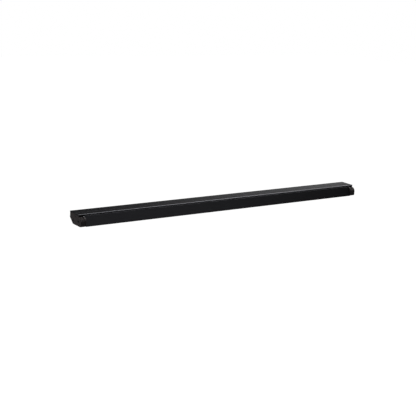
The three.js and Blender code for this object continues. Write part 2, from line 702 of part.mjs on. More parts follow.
/** A flat ring round the pivot. */
function ring(xa, xb, outerRadius, innerRadius, sides = ROUND_SEGMENTS) {
  const low = Math.min(xa, xb);
  const high = Math.max(xa, xb);
  return cut(
    rodX(low, high, pivotY, pivotZ, outerRadius, sides),
    rodX(low - 1, high + 1, pivotY, pivotZ, innerRadius),
  );
}

/** A flanged bush: its sleeve fills the cap's bore, its flange lies on the cap's inner face. */
function makePivotBush(side) {
  const { bushOuter, bushSeat, bushInner } = pivotStack(side);
  const sleeve = PIN_RADIUS + PIN_CLEARANCE + BUSH_WALL;
  return cut(
    join(
      rodX(bushOuter, bushSeat - side * OVERLAP, pivotY, pivotZ, sleeve),
      rodX(bushSeat, bushInner, pivotY, pivotZ, BUSH_FLANGE_RADIUS),
    ),
    rodX(bushOuter + side, bushInner - side, pivotY, pivotZ, PIN_RADIUS + PIN_CLEARANCE),
  );
}

// ---------------------------------------------------------------------------
// Lamp head
// ---------------------------------------------------------------------------

/** Fascia, board ledge, rear wall, diffuser lips and cap screw ports, in one extrusion. */
function makeHeadChannel() {
  const end = channelEndX;
  const fascia = outline([
    { y: fasciaTop.y, z: fasciaTop.z, r: FASCIA_TOP_RADIUS },
    { y: fasciaFoot.y, z: fasciaFoot.z },
    { y: fasciaY(bottomZ, WALL) + LIP_REACH, z: bottomZ },
    { y: fasciaY(bottomZ, WALL) + LIP_REACH, z: bottomZ + LIP_THICKNESS },
    { y: fasciaY(bottomZ + LIP_THICKNESS, WALL), z: bottomZ + LIP_THICKNESS },
    { y: fasciaY(fasciaTop.z, WALL), z: fasciaTop.z - FASCIA_TOP_CANT },
  ]);
  const rear = outline([
    { y: headBackY, z: ledgeTopZ },
    { y: headBackY - WALL, z: ledgeTopZ },
    { y: headBackY - WALL, z: bottomZ + LIP_THICKNESS },
    { y: headBackY - WALL - LIP_REACH, z: bottomZ + LIP_THICKNESS },
    { y: headBackY - WALL - LIP_REACH, z: bottomZ },
    { y: headBackY, z: bottomZ, r: CAP_CHAMFER },
  ]);
  const ledge = outline([
    { y: fasciaY(ledgeBottomZ, WALL / 2), z: ledgeBottomZ },
    { y: headBackY - WALL / 2, z: ledgeBottomZ },
    { y: headBackY - WALL / 2, z: ledgeTopZ },
    { y: fasciaY(ledgeTopZ, WALL / 2), z: ledgeTopZ },
  ]);
  const ports = Object.values(capPorts).map(({ y, z }) => rodX(-end, end, y, z, CAP_PORT_RADIUS));
  const bores = Object.values(capPorts).map(({ y, z }) =>
    rodX(-end - 1, end + 1, y, z, CAP_SCREW.shank + SCREW_GAP));
  const boardHoles = boardScrews.map(({ x }) =>
    rodZ(x, boardY, ledgeBottomZ - 1, ledgeTopZ + 1, BOARD_SCREW.shank + SCREW_GAP));
  const notchHalf = NUT_RADIUS + MOVE_GAP;
  const notches = [-1, 1].map((side) =>
    box(side * (end + 1), side * (end - NUT_NOTCH_LENGTH), pivotY - notchHalf, pivotY + notchHalf,
      ledgeBottomZ - 1, ledgeTopZ + 1));
  const nutRelief = [-1, 1].map((side) =>
    rodX(side * (end + 1), side * (end - NUT_NOTCH_LENGTH), pivotY, pivotZ, NUT_RADIUS + BORE_GAP));
  const walls = [fascia, rear, ledge].map((section) => prism(section, -end, end));
  const whole = join(...walls, ...ports);
  return cut(whole, ...bores, ...boardHoles, ...notches, ...nutRelief);
}

/** A moulded cap: nose and band in front, swing arc on top, tray section behind. */
function makeHeadCap(side) {
  const band = Math.acos((bandY - pivotY) / swingRadius);
  const shape = new THREE.Shape();
  shape.moveTo(headBackY, bottomZ + CAP_CHAMFER);
  shape.lineTo(headBackY - CAP_CHAMFER, bottomZ);
  noseOutline(shape, pivotZ + swingRadius * Math.sin(band));
  shape.absarc(pivotY, pivotZ, swingRadius, band, CREST_ANGLE, true);
  const shoulderZ = capPorts.rear.z + CAP_PORT_RADIUS;
  shape.lineTo(pivotY + CREST_BEHIND_PIVOT, shoulderZ + CAP_SHOULDER);
  shape.lineTo(capPorts.rear.y, shoulderZ);
  shape.absarc(capPorts.rear.y, capPorts.rear.z, CAP_PORT_RADIUS, Math.PI / 2, 0, true);
  shape.lineTo(headBackY, ledgeTopZ - 0.5);
  shape.closePath();
  const outer = side * capOuterX;
  const inner = side * capInnerX;
  const sleeve = PIN_RADIUS + PIN_CLEARANCE + BUSH_WALL;
  const cuts = [rodX(outer + side, inner - side, pivotY, pivotZ, sleeve + SCREW_GAP)];
  for (const { y, z } of Object.values(capPorts)) {
    const seat = outer - side * (CAP_SCREW.headHeight + SEAT_GAP);
    cuts.push(rodX(outer + side, seat, y, z, CAP_SCREW.head + BORE_GAP));
    cuts.push(rodX(outer, inner - side, y, z, CAP_SCREW.shank + SCREW_GAP));
  }
  return cut(prism(shape, outer, inner), ...cuts);
}

/** The heat-conducting pad between the ledge and the board. */
function makeThermalPad() {
  const half = BOARD_WIDTH / 2;
  const padZ = ledgeBottomZ - SEAT_GAP;
  return cut(
    box(-boardEndX, boardEndX, boardY - half, boardY + half, padZ - PAD_THICKNESS, padZ),
    ...boardScrews.map(({ x }) => rodZ(x, boardY, padZ - 2, padZ + 1, BOARD_SCREW.shank + SCREW_GAP)),
  );
}

/** The LED board with its row of LED packages. */
function makeLedBoard() {
  const board = box(-boardEndX, boardEndX, boardY - BOARD_WIDTH / 2, boardY + BOARD_WIDTH / 2,
    boardBottomZ, boardTopZ);
  const count = Math.floor((2 * (boardEndX - LED_END_INSET)) / LED_PITCH);
  const packages = [];
  for (let i = 0; i < count; i += 1) {
    const x = (i - (count - 1) / 2) * LED_PITCH;
    packages.push(box(x - LED_LENGTH / 2, x + LED_LENGTH / 2, boardY - LED_WIDTH / 2, boardY + LED_WIDTH / 2,
      boardBottomZ - LED_HEIGHT, boardBottomZ + OVERLAP));
  }
  const holes = boardScrews.map(({ x }) =>
    rodZ(x, boardY, boardBottomZ - LED_HEIGHT - 1, boardTopZ + 1, BOARD_SCREW.shank + SCREW_GAP));
  const spots = boardScrews.map(({ x }) =>
    rodZ(x, boardY, boardBottomZ - LED_HEIGHT - 1, boardBottomZ, BOARD_SCREW.head + BORE_GAP));
  return cut(join(board, ...packages), ...holes, ...spots);
}

/** Opal diffuser: a plate on the lips with a face that fills the slot between them. */
function makeDiffuser() {
  const end = channelEndX - SEAT_GAP;
  const seatZ = bottomZ + LIP_THICKNESS + SEAT_GAP;
  const plateTopZ = seatZ + DIFFUSER_THICKNESS;
  const frontEdge = fasciaY(plateTopZ, WALL) + DIFFUSER_GAP;
  const rearEdge = headBackY - WALL - DIFFUSER_GAP;
  const slotFront = fasciaY(bottomZ, WALL) + LIP_REACH + DIFFUSER_GAP;
  const slotRear = headBackY - WALL - LIP_REACH - DIFFUSER_GAP;
  return join(
    box(-end, end, frontEdge, rearEdge, seatZ, plateTopZ),
    box(-end, end, slotFront, slotRear, bottomZ + DIFFUSER_RECESS, seatZ + DIFFUSER_THICKNESS / 2),
  );
}

/** A white strip along one side of the board that turns stray light down. */
function makeReflector(wallY, towardBoard) {
  const low = bottomZ + LIP_THICKNESS + SEAT_GAP + DIFFUSER_THICKNESS + PART_GAP;
  const high = ledgeBottomZ - PART_GAP;
  const away = towardBoard * PART_GAP;
  const thick = towardBoard * REFLECTOR_THICKNESS;
  const section = outline([
    { y: wallY(high) + away, z: high },
    { y: wallY(low) + away, z: low },
    { y: wallY(low) + away + thick, z: low },
    { y: wallY(high) + away + thick, z: high },
  ]);
  return prism(section, -boardEndX, boardEndX);
}

// ---------------------------------------------------------------------------
// Electrical gear
// ---------------------------------------------------------------------------

/** A hole along X for a lead. */
function leadHole(xa, xb, y, z) {
  return rodX(xa, xb, y, z, LEAD_RADIUS + BORE_GAP, 16);
}

/** A clearance hole along Z for a small screw, with more radius for its head where it needs it. */
function smallScrewHole(x, y, za, zb, radius = SMALL_SCREW.shank + SCREW_GAP) {
  return rodZ(x, y, za, zb, radius, 16);
}

/** Driver case: a long box, open on top, with lead holes in its ends. */
function makeDriverCase() {
  const half = DRIVER_WIDTH / 2;
  const lidZ = driverBottomZ + DRIVER_HEIGHT - DRIVER_WALL;
  return cut(
    box(driverLeftX, driverRightX, chamberY - half, chamberY + half, driverBottomZ, lidZ - SEAT_GAP),
    box(driverLeftX + DRIVER_WALL, driverRightX - DRIVER_WALL, chamberY - half + DRIVER_WALL,
      chamberY + half - DRIVER_WALL, driverBottomZ + DRIVER_WALL, lidZ + 1),
    leadHole(driverLeftX - 1, driverLeftX + DRIVER_HOLE, chamberY, driverLeadZ),
    ...leadSides.map((across) =>
      leadHole(driverRightX - DRIVER_HOLE, driverRightX + 1, chamberY + across, driverLeadZ)),
  );
}

/** The driver's circuit board with its larger components. */
function makeDriverBoard() {
  const half = DRIVER_WIDTH / 2 - DRIVER_WALL - PART_GAP;
  const boardZ = driverBottomZ + DRIVER_WALL + DRIVER_BOARD_LIFT;
  const left = driverLeftX + DRIVER_WALL + DRIVER_BOARD_INSET;
  const right = driverRightX - DRIVER_WALL - DRIVER_BOARD_INSET;
  const ceiling = driverBottomZ + DRIVER_HEIGHT - DRIVER_WALL - DRIVER_HEADROOM;
  const thick = DRIVER_BOARD_THICKNESS / 2;
  const board = box(left, right, chamberY - half, chamberY + half, boardZ - thick, boardZ + thick);
  const boxes = DRIVER_BOXES.map(({ from, length, side, below }) => {
    const reach = half - side;
    const start = left + from;
    return box(start, start + length, chamberY - reach, chamberY + reach, boardZ, ceiling - below);
  });
  const cans = CAPACITORS.map((from) => rodZ(left + from, chamberY, boardZ, ceiling, half - 1));
  return join(board, ...boxes, ...cans);
}

/** Terminal block with a screw well and a wire hole for each pole. */
function makeTerminalBlock() {
  const half = TERMINAL_WIDTH / 2;
  const topLevel = terminalBottomZ + TERMINAL_HEIGHT;
  const cuts = [];
  for (let i = 0; i < TERMINAL_COUNT; i += 1) {
    const x = terminalLeftX + terminalPitch * (i + 0.5);
    const well = TERMINAL_SCREW.head + BORE_GAP;
    cuts.push(rodZ(x, chamberY, topLevel - TERMINAL_WELL, topLevel + 1, well, 16));
  }
  const holeEnd = terminalLeftX + TERMINAL_HOLE;
  for (const across of leadSides) {
    cuts.push(leadHole(terminalLeftX - 1, holeEnd, chamberY + across, driverLeadZ));
  }
  cuts.push(leadHole(terminalLeftX - 1, holeEnd, chamberY, earthHoleZ));
  return cut(
    box(terminalLeftX, TERMINAL_RIGHT_X, chamberY - half, chamberY + half, terminalBottomZ, topLevel),
    ...cuts,
  );
}

/** A saddle over the mains cable, with a foot each side. */
function makeCordClamp() {
  const seatZ = trayTopZ + SEAT_GAP;
  const half = DRIVER_WIDTH / 2;
  const centreZ = seatZ + CORD_RADIUS;
  const outer = CORD_RADIUS + CLAMP_SHEET;
  const xa = CLAMP_X - CLAMP_LENGTH / 2;
  const xb = CLAMP_X + CLAMP_LENGTH / 2;
  return cut(
    join(
      box(xa, xb, chamberY - half, chamberY + half, seatZ, seatZ + CLAMP_SHEET),
      rodX(xa, xb, chamberY, centreZ, outer),
      box(xa, xb, chamberY - outer, chamberY + outer, seatZ, centreZ),
    ),
    rodX(xa - 1, xb + 1, chamberY, centreZ, CORD_RADIUS),
    box(xa - 1, xb + 1, chamberY - CORD_RADIUS, chamberY + CORD_RADIUS, seatZ - CORD_RADIUS * 2, centreZ),
    box(xa - 1, xb + 1, chamberY - half, chamberY + half, seatZ - outer, seatZ),
    ...clampScrewYs.map((y) => smallScrewHole(CLAMP_X, y, seatZ - 1, seatZ + outer * 2)),
    ...clampScrewYs.map((y) =>
      smallScrewHole(CLAMP_X, y, seatZ + CLAMP_SHEET, seatZ + outer * 2, SMALL_SCREW.head + BORE_GAP)),
  );
}

/** The strip that carries the driver, terminals and clamp. */
function makeGearTray() {
  const frontEdge = webBackY + PART_GAP;
  const backEdge = slopeY(trayBottomZ, WALL) - PART_GAP;
  return cut(
    box(driverLeftX - TRAY_END, CLAMP_X + CLAMP_LENGTH, frontEdge, backEdge, trayBottomZ, trayTopZ),
    ...clampScrewYs.map((y) => smallScrewHole(CLAMP_X, y, trayBottomZ - 1, trayTopZ + 1)),
    smallScrewHole(earthScrewX, earthScrewY, trayBottomZ - 1, trayTopZ + 1),
  );
}

/** A rubber grommet pressed into the back wall from inside. */
function makeGrommet() {
  const flangeY = chamberBackY - SEAT_GAP;
  return cut(
    join(
      rodY(CABLE_X, backWallY, flangeY - OVERLAP, 0, GROMMET_RADIUS),
      rodY(CABLE_X, flangeY, flangeY - GROMMET_FLANGE, 0, GROMMET_FLANGE_RADIUS),
    ),
    rodY(CABLE_X, backWallY + 1, chamberBackY - 5, 0, CORD_RADIUS),
  );
}

// ---------------------------------------------------------------------------
// Leads
// ---------------------------------------------------------------------------

/** A lead from the terminal block to the driver, bowed away from the chamber's middle. */
function makeSupplyLead(across) {
  const y = chamberY + across;
  const middleX = (terminalLeftX + driverRightX) / 2;
  return lead([
    [terminalLeftX + LEAD_INSIDE, y, driverLeadZ],
    [terminalLeftX - LEAD_STRAIGHT, y, driverLeadZ],
    [middleX, y + across * 0.35, driverLeadZ + 1.2],
    [driverRightX + LEAD_STRAIGHT, y, driverLeadZ],
    [driverRightX - LEAD_IN_DRIVER, y, driverLeadZ],
  ], LEAD_RADIUS, 16);
}

/** The earth lead from the terminal block down to its screw on the tray. */
function makeEarthLead() {
  return lead([
    [terminalLeftX + LEAD_INSIDE, chamberY, earthHoleZ],
    [terminalLeftX - 3, chamberY, earthHoleZ],
    [terminalLeftX - 7, chamberY + 2, earthHoleZ - 0.2],
    [earthScrewX + SMALL_SCREW.head + 1.4, earthScrewY, trayTopZ + LEAD_RADIUS + SEAT_GAP],
  ], LEAD_RADIUS * 0.9, 12);
}

// Middle of the low-voltage lead in the cheek's channel, and where it ends in the hollow pin.
const channelX = -(cheekInnerX + LEAD_CHANNEL_DEPTH - LEAD_CHANNEL_WIDTH / 2 - PART_GAP);
const outputEndX = channelX + BEND_RADIUS + 3;

/** The low-voltage lead: driver, gear chamber, left cheek's channel, then into the hollow pin. */
function makeOutputLead() {
  const straightX = channelX + 14;
  const alongChamber = (share) => THREE.MathUtils.lerp(driverLeftX, channelX, share);
  const towardPivot = (share) => [
    channelX,
    THREE.MathUtils.lerp(chamberY, pivotY, share),
    THREE.MathUtils.lerp(driverLeadZ, pivotZ, share),
  ];
  const chamberRun = lead([
    [driverLeftX + LEAD_IN_DRIVER, chamberY, driverLeadZ],
    [driverLeftX - 2 * LEAD_STRAIGHT, chamberY, driverLeadZ],
    [alongChamber(0.3), chamberY + 2, driverLeadZ - 2],
    [alongChamber(0.7), chamberY - 2, driverLeadZ - 1],
    [straightX + LEAD_STRAIGHT, chamberY, driverLeadZ],
    [straightX - 1, chamberY, driverLeadZ],
  ], LOW_LEAD_RADIUS, 24);
  const cheekRun = lead([
    [straightX, chamberY, driverLeadZ],
    [channelX + BEND_RADIUS * 1.4, chamberY, driverLeadZ],
    [channelX + 0.8, chamberY - 1.2, driverLeadZ],
    towardPivot(0.2),
    towardPivot(0.5),
    towardPivot(0.82),
    [channelX + 1.1, pivotY + 1.2, pivotZ + 0.2],
    [channelX + BEND_RADIUS, pivotY, pivotZ],
    [outputEndX, pivotY, pivotZ],
  ], LOW_LEAD_RADIUS, 36);
  return join(chamberRun, cheekRun);
}

/** The connector under the LED board's left end. */
function makeBoardConnector() {
  const { x, y, z } = connector;
  const halfWidth = CONNECTOR_WIDTH / 2;
  const halfHeight = CONNECTOR_HEIGHT / 2;
  return cut(
    box(x, x + CONNECTOR_LENGTH, y - halfWidth, y + halfWidth, z - halfHeight, z + halfHeight),
    leadHole(x - 1, x + CONNECTOR_HOLE, y, z),
  );
}

/** The low-voltage lead's second length: out of the hollow pin, down past the ledge to the connector. */
function makeHeadLead() {
  const { x, y, z } = connector;
  const pinEndX = pivotStack(-1).pinEnd;
  const between = (share) => THREE.MathUtils.lerp(pivotZ, z, share);
  return lead([
    [outputEndX + PART_GAP, pivotY, pivotZ],
    [pinEndX + 1, pivotY, pivotZ],
    [pinEndX + 4, pivotY, between(0.2)],
    [pinEndX + 8, pivotY, between(0.9)],
    [pinEndX + 11, pivotY + 0.8, z],
    [x - 4.5, y - 1, z],
    [x - 1.5, y, z],
    [x + LEAD_INSIDE, y, z],
  ], LOW_LEAD_RADIUS, 28);
}

// ---------------------------------------------------------------------------
// Assembly
// ---------------------------------------------------------------------------

place('wall_rail', makeWallRail(), blackSteel);
place('rear_channel', makeRearChannel(), blackAluminium);
place('top_cover', makeTopCover(), blackAluminium);

for (const side of [-1, 1]) {
  const end = side < 0 ? 'left' : 'right';
  const inwards = [-side, 0, 0];
  const stack = pivotStack(side);
  place(`end_cheek_${end}`, makeEndCheek(side), charcoalPlastic);
  const screwFace = side * (halfLength - PIN_HEAD_SUNK);
  for (const [level, port] of [['upper', upperPort], ['lower', lowerPort]]) {
    const at = [screwFace + side * SEAT_GAP, port.y, port.z];
    place(`cheek_screw_${end}_${level}`, screw(CHEEK_SCREW, at, inwards), blackScrewSteel);
  }
  const lockAt = [side * lockX, lockY, lockHeadZ - SEAT_GAP];
  place(`lock_screw_${end}`, screw(LOCK_SCREW, lockAt, [0, 0, 1]), zincSteel);

  place(`pivot_pin_${end}`, makePivotPin(side), blackScrewSteel);
  const washerBore = PIN_RADIUS + PIN_CLEARANCE;
  const frictionWasher = ring(stack.washerOuter, stack.washerInner, WASHER_RADIUS, washerBore);
  const springWasher = ring(stack.springOuter, stack.springInner, SPRING_WASHER_RADIUS, washerBore);
  const nut = ring(stack.nutOuter, stack.nutInner, NUT_RADIUS, washerBore, 6);
  place(`friction_washer_${end}`, frictionWasher, whiteNylon);
  place(`spring_washer_${end}`, springWasher, zincSteel);
  place(`pivot_nut_${end}`, nut, zincSteel);
  place(`pivot_bush_${end}`, makePivotBush(side), whiteNylon);

  place(`head_cap_${end}`, makeHeadCap(side), charcoalPlastic);
  for (const [spot, port] of Object.entries(capPorts)) {
    const at = [side * (capOuterX - SEAT_GAP / 2), port.y, port.z];
    place(`cap_screw_${end}_${spot}`, screw(CAP_SCREW, at, inwards), zincSteel);
  }
}

place('head_channel', makeHeadChannel(), blackAluminium);
place('thermal_pad', makeThermalPad(), greyPad);
place('led_board', makeLedBoard(), whiteBoard);
for (const { name, x } of boardScrews) {
  const at = [x, boardY, boardBottomZ - SEAT_GAP - BOARD_SCREW.headHeight];
  place(`board_screw_${name}`, screw(BOARD_SCREW, at, [0, 0, 1]), zincSteel);
}
place('reflector_front', makeReflector((z) => fasciaY(z, WALL), 1), whiteReflector);
place('reflector_rear', makeReflector(() => headBackY - WALL, -1), whiteReflector);
place('diffuser', makeDiffuser(), opalAcrylic);

place('gear_tray', makeGearTray(), zincSteel);
place('driver_case', makeDriverCase(), driverPlastic);
place('driver_board', makeDriverBoard(), greenBoard);
const lidTopZ = driverBottomZ + DRIVER_HEIGHT;
place('driver_lid', box(driverLeftX, driverRightX, chamberY - DRIVER_WIDTH / 2, chamberY + DRIVER_WIDTH / 2,
  lidTopZ - DRIVER_WALL, lidTopZ), driverPlastic);
place('terminal_block', makeTerminalBlock(), terminalPlastic);
const terminalScrewZ = terminalBottomZ + TERMINAL_HEIGHT - TERMINAL_SCREW_SUNK;
for (let i = 0; i < TERMINAL_COUNT; i += 1) {
  const at = [terminalLeftX + terminalPitch * (i + 0.5), chamberY, terminalScrewZ];
  place(`terminal_screw_${i + 1}`, screw(TERMINAL_SCREW, at, [0, 0, -1]), zincSteel);
}
place('cable_grommet', makeGrommet(), rubber);
place('cord_clamp', makeCordClamp(), whiteNylon);
clampScrewYs.forEach((y, index) => {
  const at = [CLAMP_X, y, trayTopZ + SEAT_GAP * 2 + CLAMP_SHEET + SMALL_SCREW.headHeight];
  place(`clamp_screw_${index === 0 ? 'front' : 'rear'}`, screw(SMALL_SCREW, at, [0, 0, -1]), zincSteel);
});
const earthAt = [earthScrewX, earthScrewY, trayTopZ + SEAT_GAP + SMALL_SCREW.headHeight];
place('earth_screw', screw(SMALL_SCREW, earthAt, [0, 0, -1]), zincSteel);

for (const [name, across, material] of [
  ['live_lead', leadSides[0], brownLead],
  ['neutral_lead', leadSides[1], blueLead],
]) {
  place(name, makeSupplyLead(across), material);
}
place('earth_lead', makeEarthLead(), greenYellowLead);
place('output_lead', makeOutputLead(), whiteLead);
place('board_connector', makeBoardConnector(), terminalPlastic);
place('head_lead', makeHeadLead(), whiteLead);

export default group;
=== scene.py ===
"""Visual model of a slim black vanity light bar.

A satin black extruded housing hangs on a steel wall rail. Charcoal moulded cheeks close its ends and carry
the pivots of a lamp head, whose slanted fascia tilts up and whose opal diffuser shines down. Lengths in the
classes are in millimetres, in the model's own axes: X along the bar, the wall at Y = 0, the front towards
-Y and +Z up. Meshes are built in metres.
"""

import json
import logging
import math
from dataclasses import dataclass, field
from enum import Enum
from typing import Iterable, Sequence

import bmesh
import bpy
from mathutils import Matrix, Vector


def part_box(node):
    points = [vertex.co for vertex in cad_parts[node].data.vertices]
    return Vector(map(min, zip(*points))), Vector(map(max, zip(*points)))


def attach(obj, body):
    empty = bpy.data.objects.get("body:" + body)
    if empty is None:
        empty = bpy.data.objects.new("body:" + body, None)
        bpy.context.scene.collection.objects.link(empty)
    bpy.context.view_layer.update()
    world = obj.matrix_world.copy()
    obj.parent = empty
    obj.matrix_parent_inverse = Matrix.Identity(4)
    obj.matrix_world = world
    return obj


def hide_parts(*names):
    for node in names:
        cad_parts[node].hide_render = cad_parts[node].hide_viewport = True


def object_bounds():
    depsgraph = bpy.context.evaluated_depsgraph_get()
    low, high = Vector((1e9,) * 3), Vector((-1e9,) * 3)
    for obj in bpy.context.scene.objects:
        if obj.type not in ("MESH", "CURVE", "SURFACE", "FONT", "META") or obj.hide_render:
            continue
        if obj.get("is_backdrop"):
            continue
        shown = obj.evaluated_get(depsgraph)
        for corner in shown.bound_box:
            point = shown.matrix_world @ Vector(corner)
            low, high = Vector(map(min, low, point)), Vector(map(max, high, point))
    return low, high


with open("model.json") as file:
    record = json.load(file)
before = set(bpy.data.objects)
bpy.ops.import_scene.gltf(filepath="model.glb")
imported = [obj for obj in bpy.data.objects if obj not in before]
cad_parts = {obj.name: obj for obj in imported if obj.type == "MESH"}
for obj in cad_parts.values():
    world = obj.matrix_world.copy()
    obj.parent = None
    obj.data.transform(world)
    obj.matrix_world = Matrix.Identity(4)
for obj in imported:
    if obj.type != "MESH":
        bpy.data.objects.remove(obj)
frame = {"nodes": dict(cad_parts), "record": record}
CAD_LOW, CAD_HIGH = (tuple(corner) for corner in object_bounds())

LOG = logging.getLogger("vanity_light_bar")
MM = 0.001
HOUSING = "housing"
HEAD = "lamp_head"
# Each end of the bar, and the sign of its X.
SIDES = {"left": -1, "right": 1}
UPWARDS = Vector((0, 0, 1))
ALONG_BAR = Vector((1, 0, 0))

# Sockets of a colour Mix node: its two colours and its result.
MIX_FIRST, MIX_SECOND, MIX_RESULT = 6, 7, 2
# Slow drift of each colour, in cycles per metre: blotches about 40 mm wide.
DRIFT_SCALE = 24.0
# Die lines are this share as fine along the bar as they are across it.
DRAWN_STRETCH = 0.012
RELIEF_STRENGTH = 0.6
# How far light travels inside a milky plastic, in metres, for red, green and blue.
GLOW_REACH = (0.004, 0.004, 0.0038)

# Angles in degrees: an edge sharper than the first stays sharp in shading, and one sharper than the
# second is rounded on the inner parts.
SHARP_ANGLE = 32.0
ROUNDED_ANGLE = 38.0
# Radii of the rounded edges of inner parts and of leads, in mm.
INNER_EDGE = 0.12
LEAD_EDGE = 0.05
# Points of an inner part closer than this are one point, in mm.
WELD_REACH = 0.002
# Points of a new mesh closer than this are one point, and a shorter edge is dropped, in metres.
MERGE_REACH = 1e-7
SHORTEST_EDGE = 1e-8
# Flat bands that round the end edge of a prism.
EDGE_STEPS = 3
# Radius at which a turned profile meets its axis, in mm.
AXIS_RADIUS = 0.02
# Bands round a screw's crown, and its point as a share of its shank.
CROWN_STEPS = 8
POINT = 0.3
# A cutter's step between two radii, and how far it reaches past a face, in mm.
STEP = 0.01
PAST = 1.0
# How far a port or rib stops short of the extrusion's end, in mm, so that no faces coincide.
INSET = 0.02
# A ring drawn with an arc stops at this angle, in degrees, so that its ends don't meet.
FULL_RING = 352


# ---------------------------------------------------------------------------
# Colour and shader tools
# ---------------------------------------------------------------------------


def linear(colour: str) -> tuple[float, float, float, float]:
    """Turns an sRGB hex colour into linear RGBA.

    Args:
        colour: A colour such as "#1c1c1e".

    Returns:
        Red, green, blue and alpha, in linear light.
    """
    channels = [int(colour[i:i + 2], 16) / 255 for i in (1, 3, 5)]
    red, green, blue = (c / 12.92 if c <= 0.04045 else ((c + 0.055) / 1.055) ** 2.4 for c in channels)
    return red, green, blue, 1.0


def add_node(
    tree: bpy.types.NodeTree, kind: str, settings: dict | None = None, **links: bpy.types.NodeSocket,
) -> bpy.types.Node:
    """Adds a shader node with its settings and its inputs.

    Args:
        tree: The node tree that takes the node.
        kind: The node's type name, without the "ShaderNode" in front.
        settings: Attributes of the node, and values of inputs given by index or by name.
        links: Output sockets, each joined to the input of that name. Underscores stand for spaces, and
            i0, i1 and so on stand for an input's number.

    Returns:
        The new node.
    """
    node = tree.nodes.new("ShaderNode" + kind)
    for key, value in (settings or {}).items():
        if isinstance(key, int) or key in node.inputs:
            node.inputs[key].default_value = value
        else:
            setattr(node, key, value)
    for name, socket in links.items():
        index = int(name[1:]) if name[0] == "i" and name[1:].isdigit() else name.replace("_", " ")
        tree.links.new(socket, node.inputs[index])
    return node


def overlay(
    tree: bpy.types.NodeTree, value: bpy.types.NodeSocket, edge: tuple[float, float],
    under: bpy.types.NodeSocket, over: str,
) -> bpy.types.NodeSocket:
    """Lays a second colour over the first wherever a pattern's value is high.

    Args:
        tree: The material's node tree.
        value: The pattern.
        edge: Values between which the second colour comes in.
        under: The first colour.
        over: The second colour, in sRGB.

    Returns:
        The mixed colour.
    """
    low, high = edge
    share = add_node(tree, "MapRange", {"From Min": low, "From Max": high}, Value=value)
    mix = add_node(tree, "Mix", {"data_type": "RGBA"}, i0=share.outputs["Result"])
    tree.links.new(under, mix.inputs[MIX_FIRST])
    mix.inputs[MIX_SECOND].default_value = linear(over)
    return mix.outputs[MIX_RESULT]


class Grain(Enum):
    """How a surface was made, which sets the shape of its fine relief."""

    DRAWN = "drawn through a die along X"
    SPRAYED = "powder sprayed and baked"
    ERODED = "moulded against a spark-eroded tool"
    PLATED = "plated in a bath"
    SMOOTH = "moulded against a polished tool"


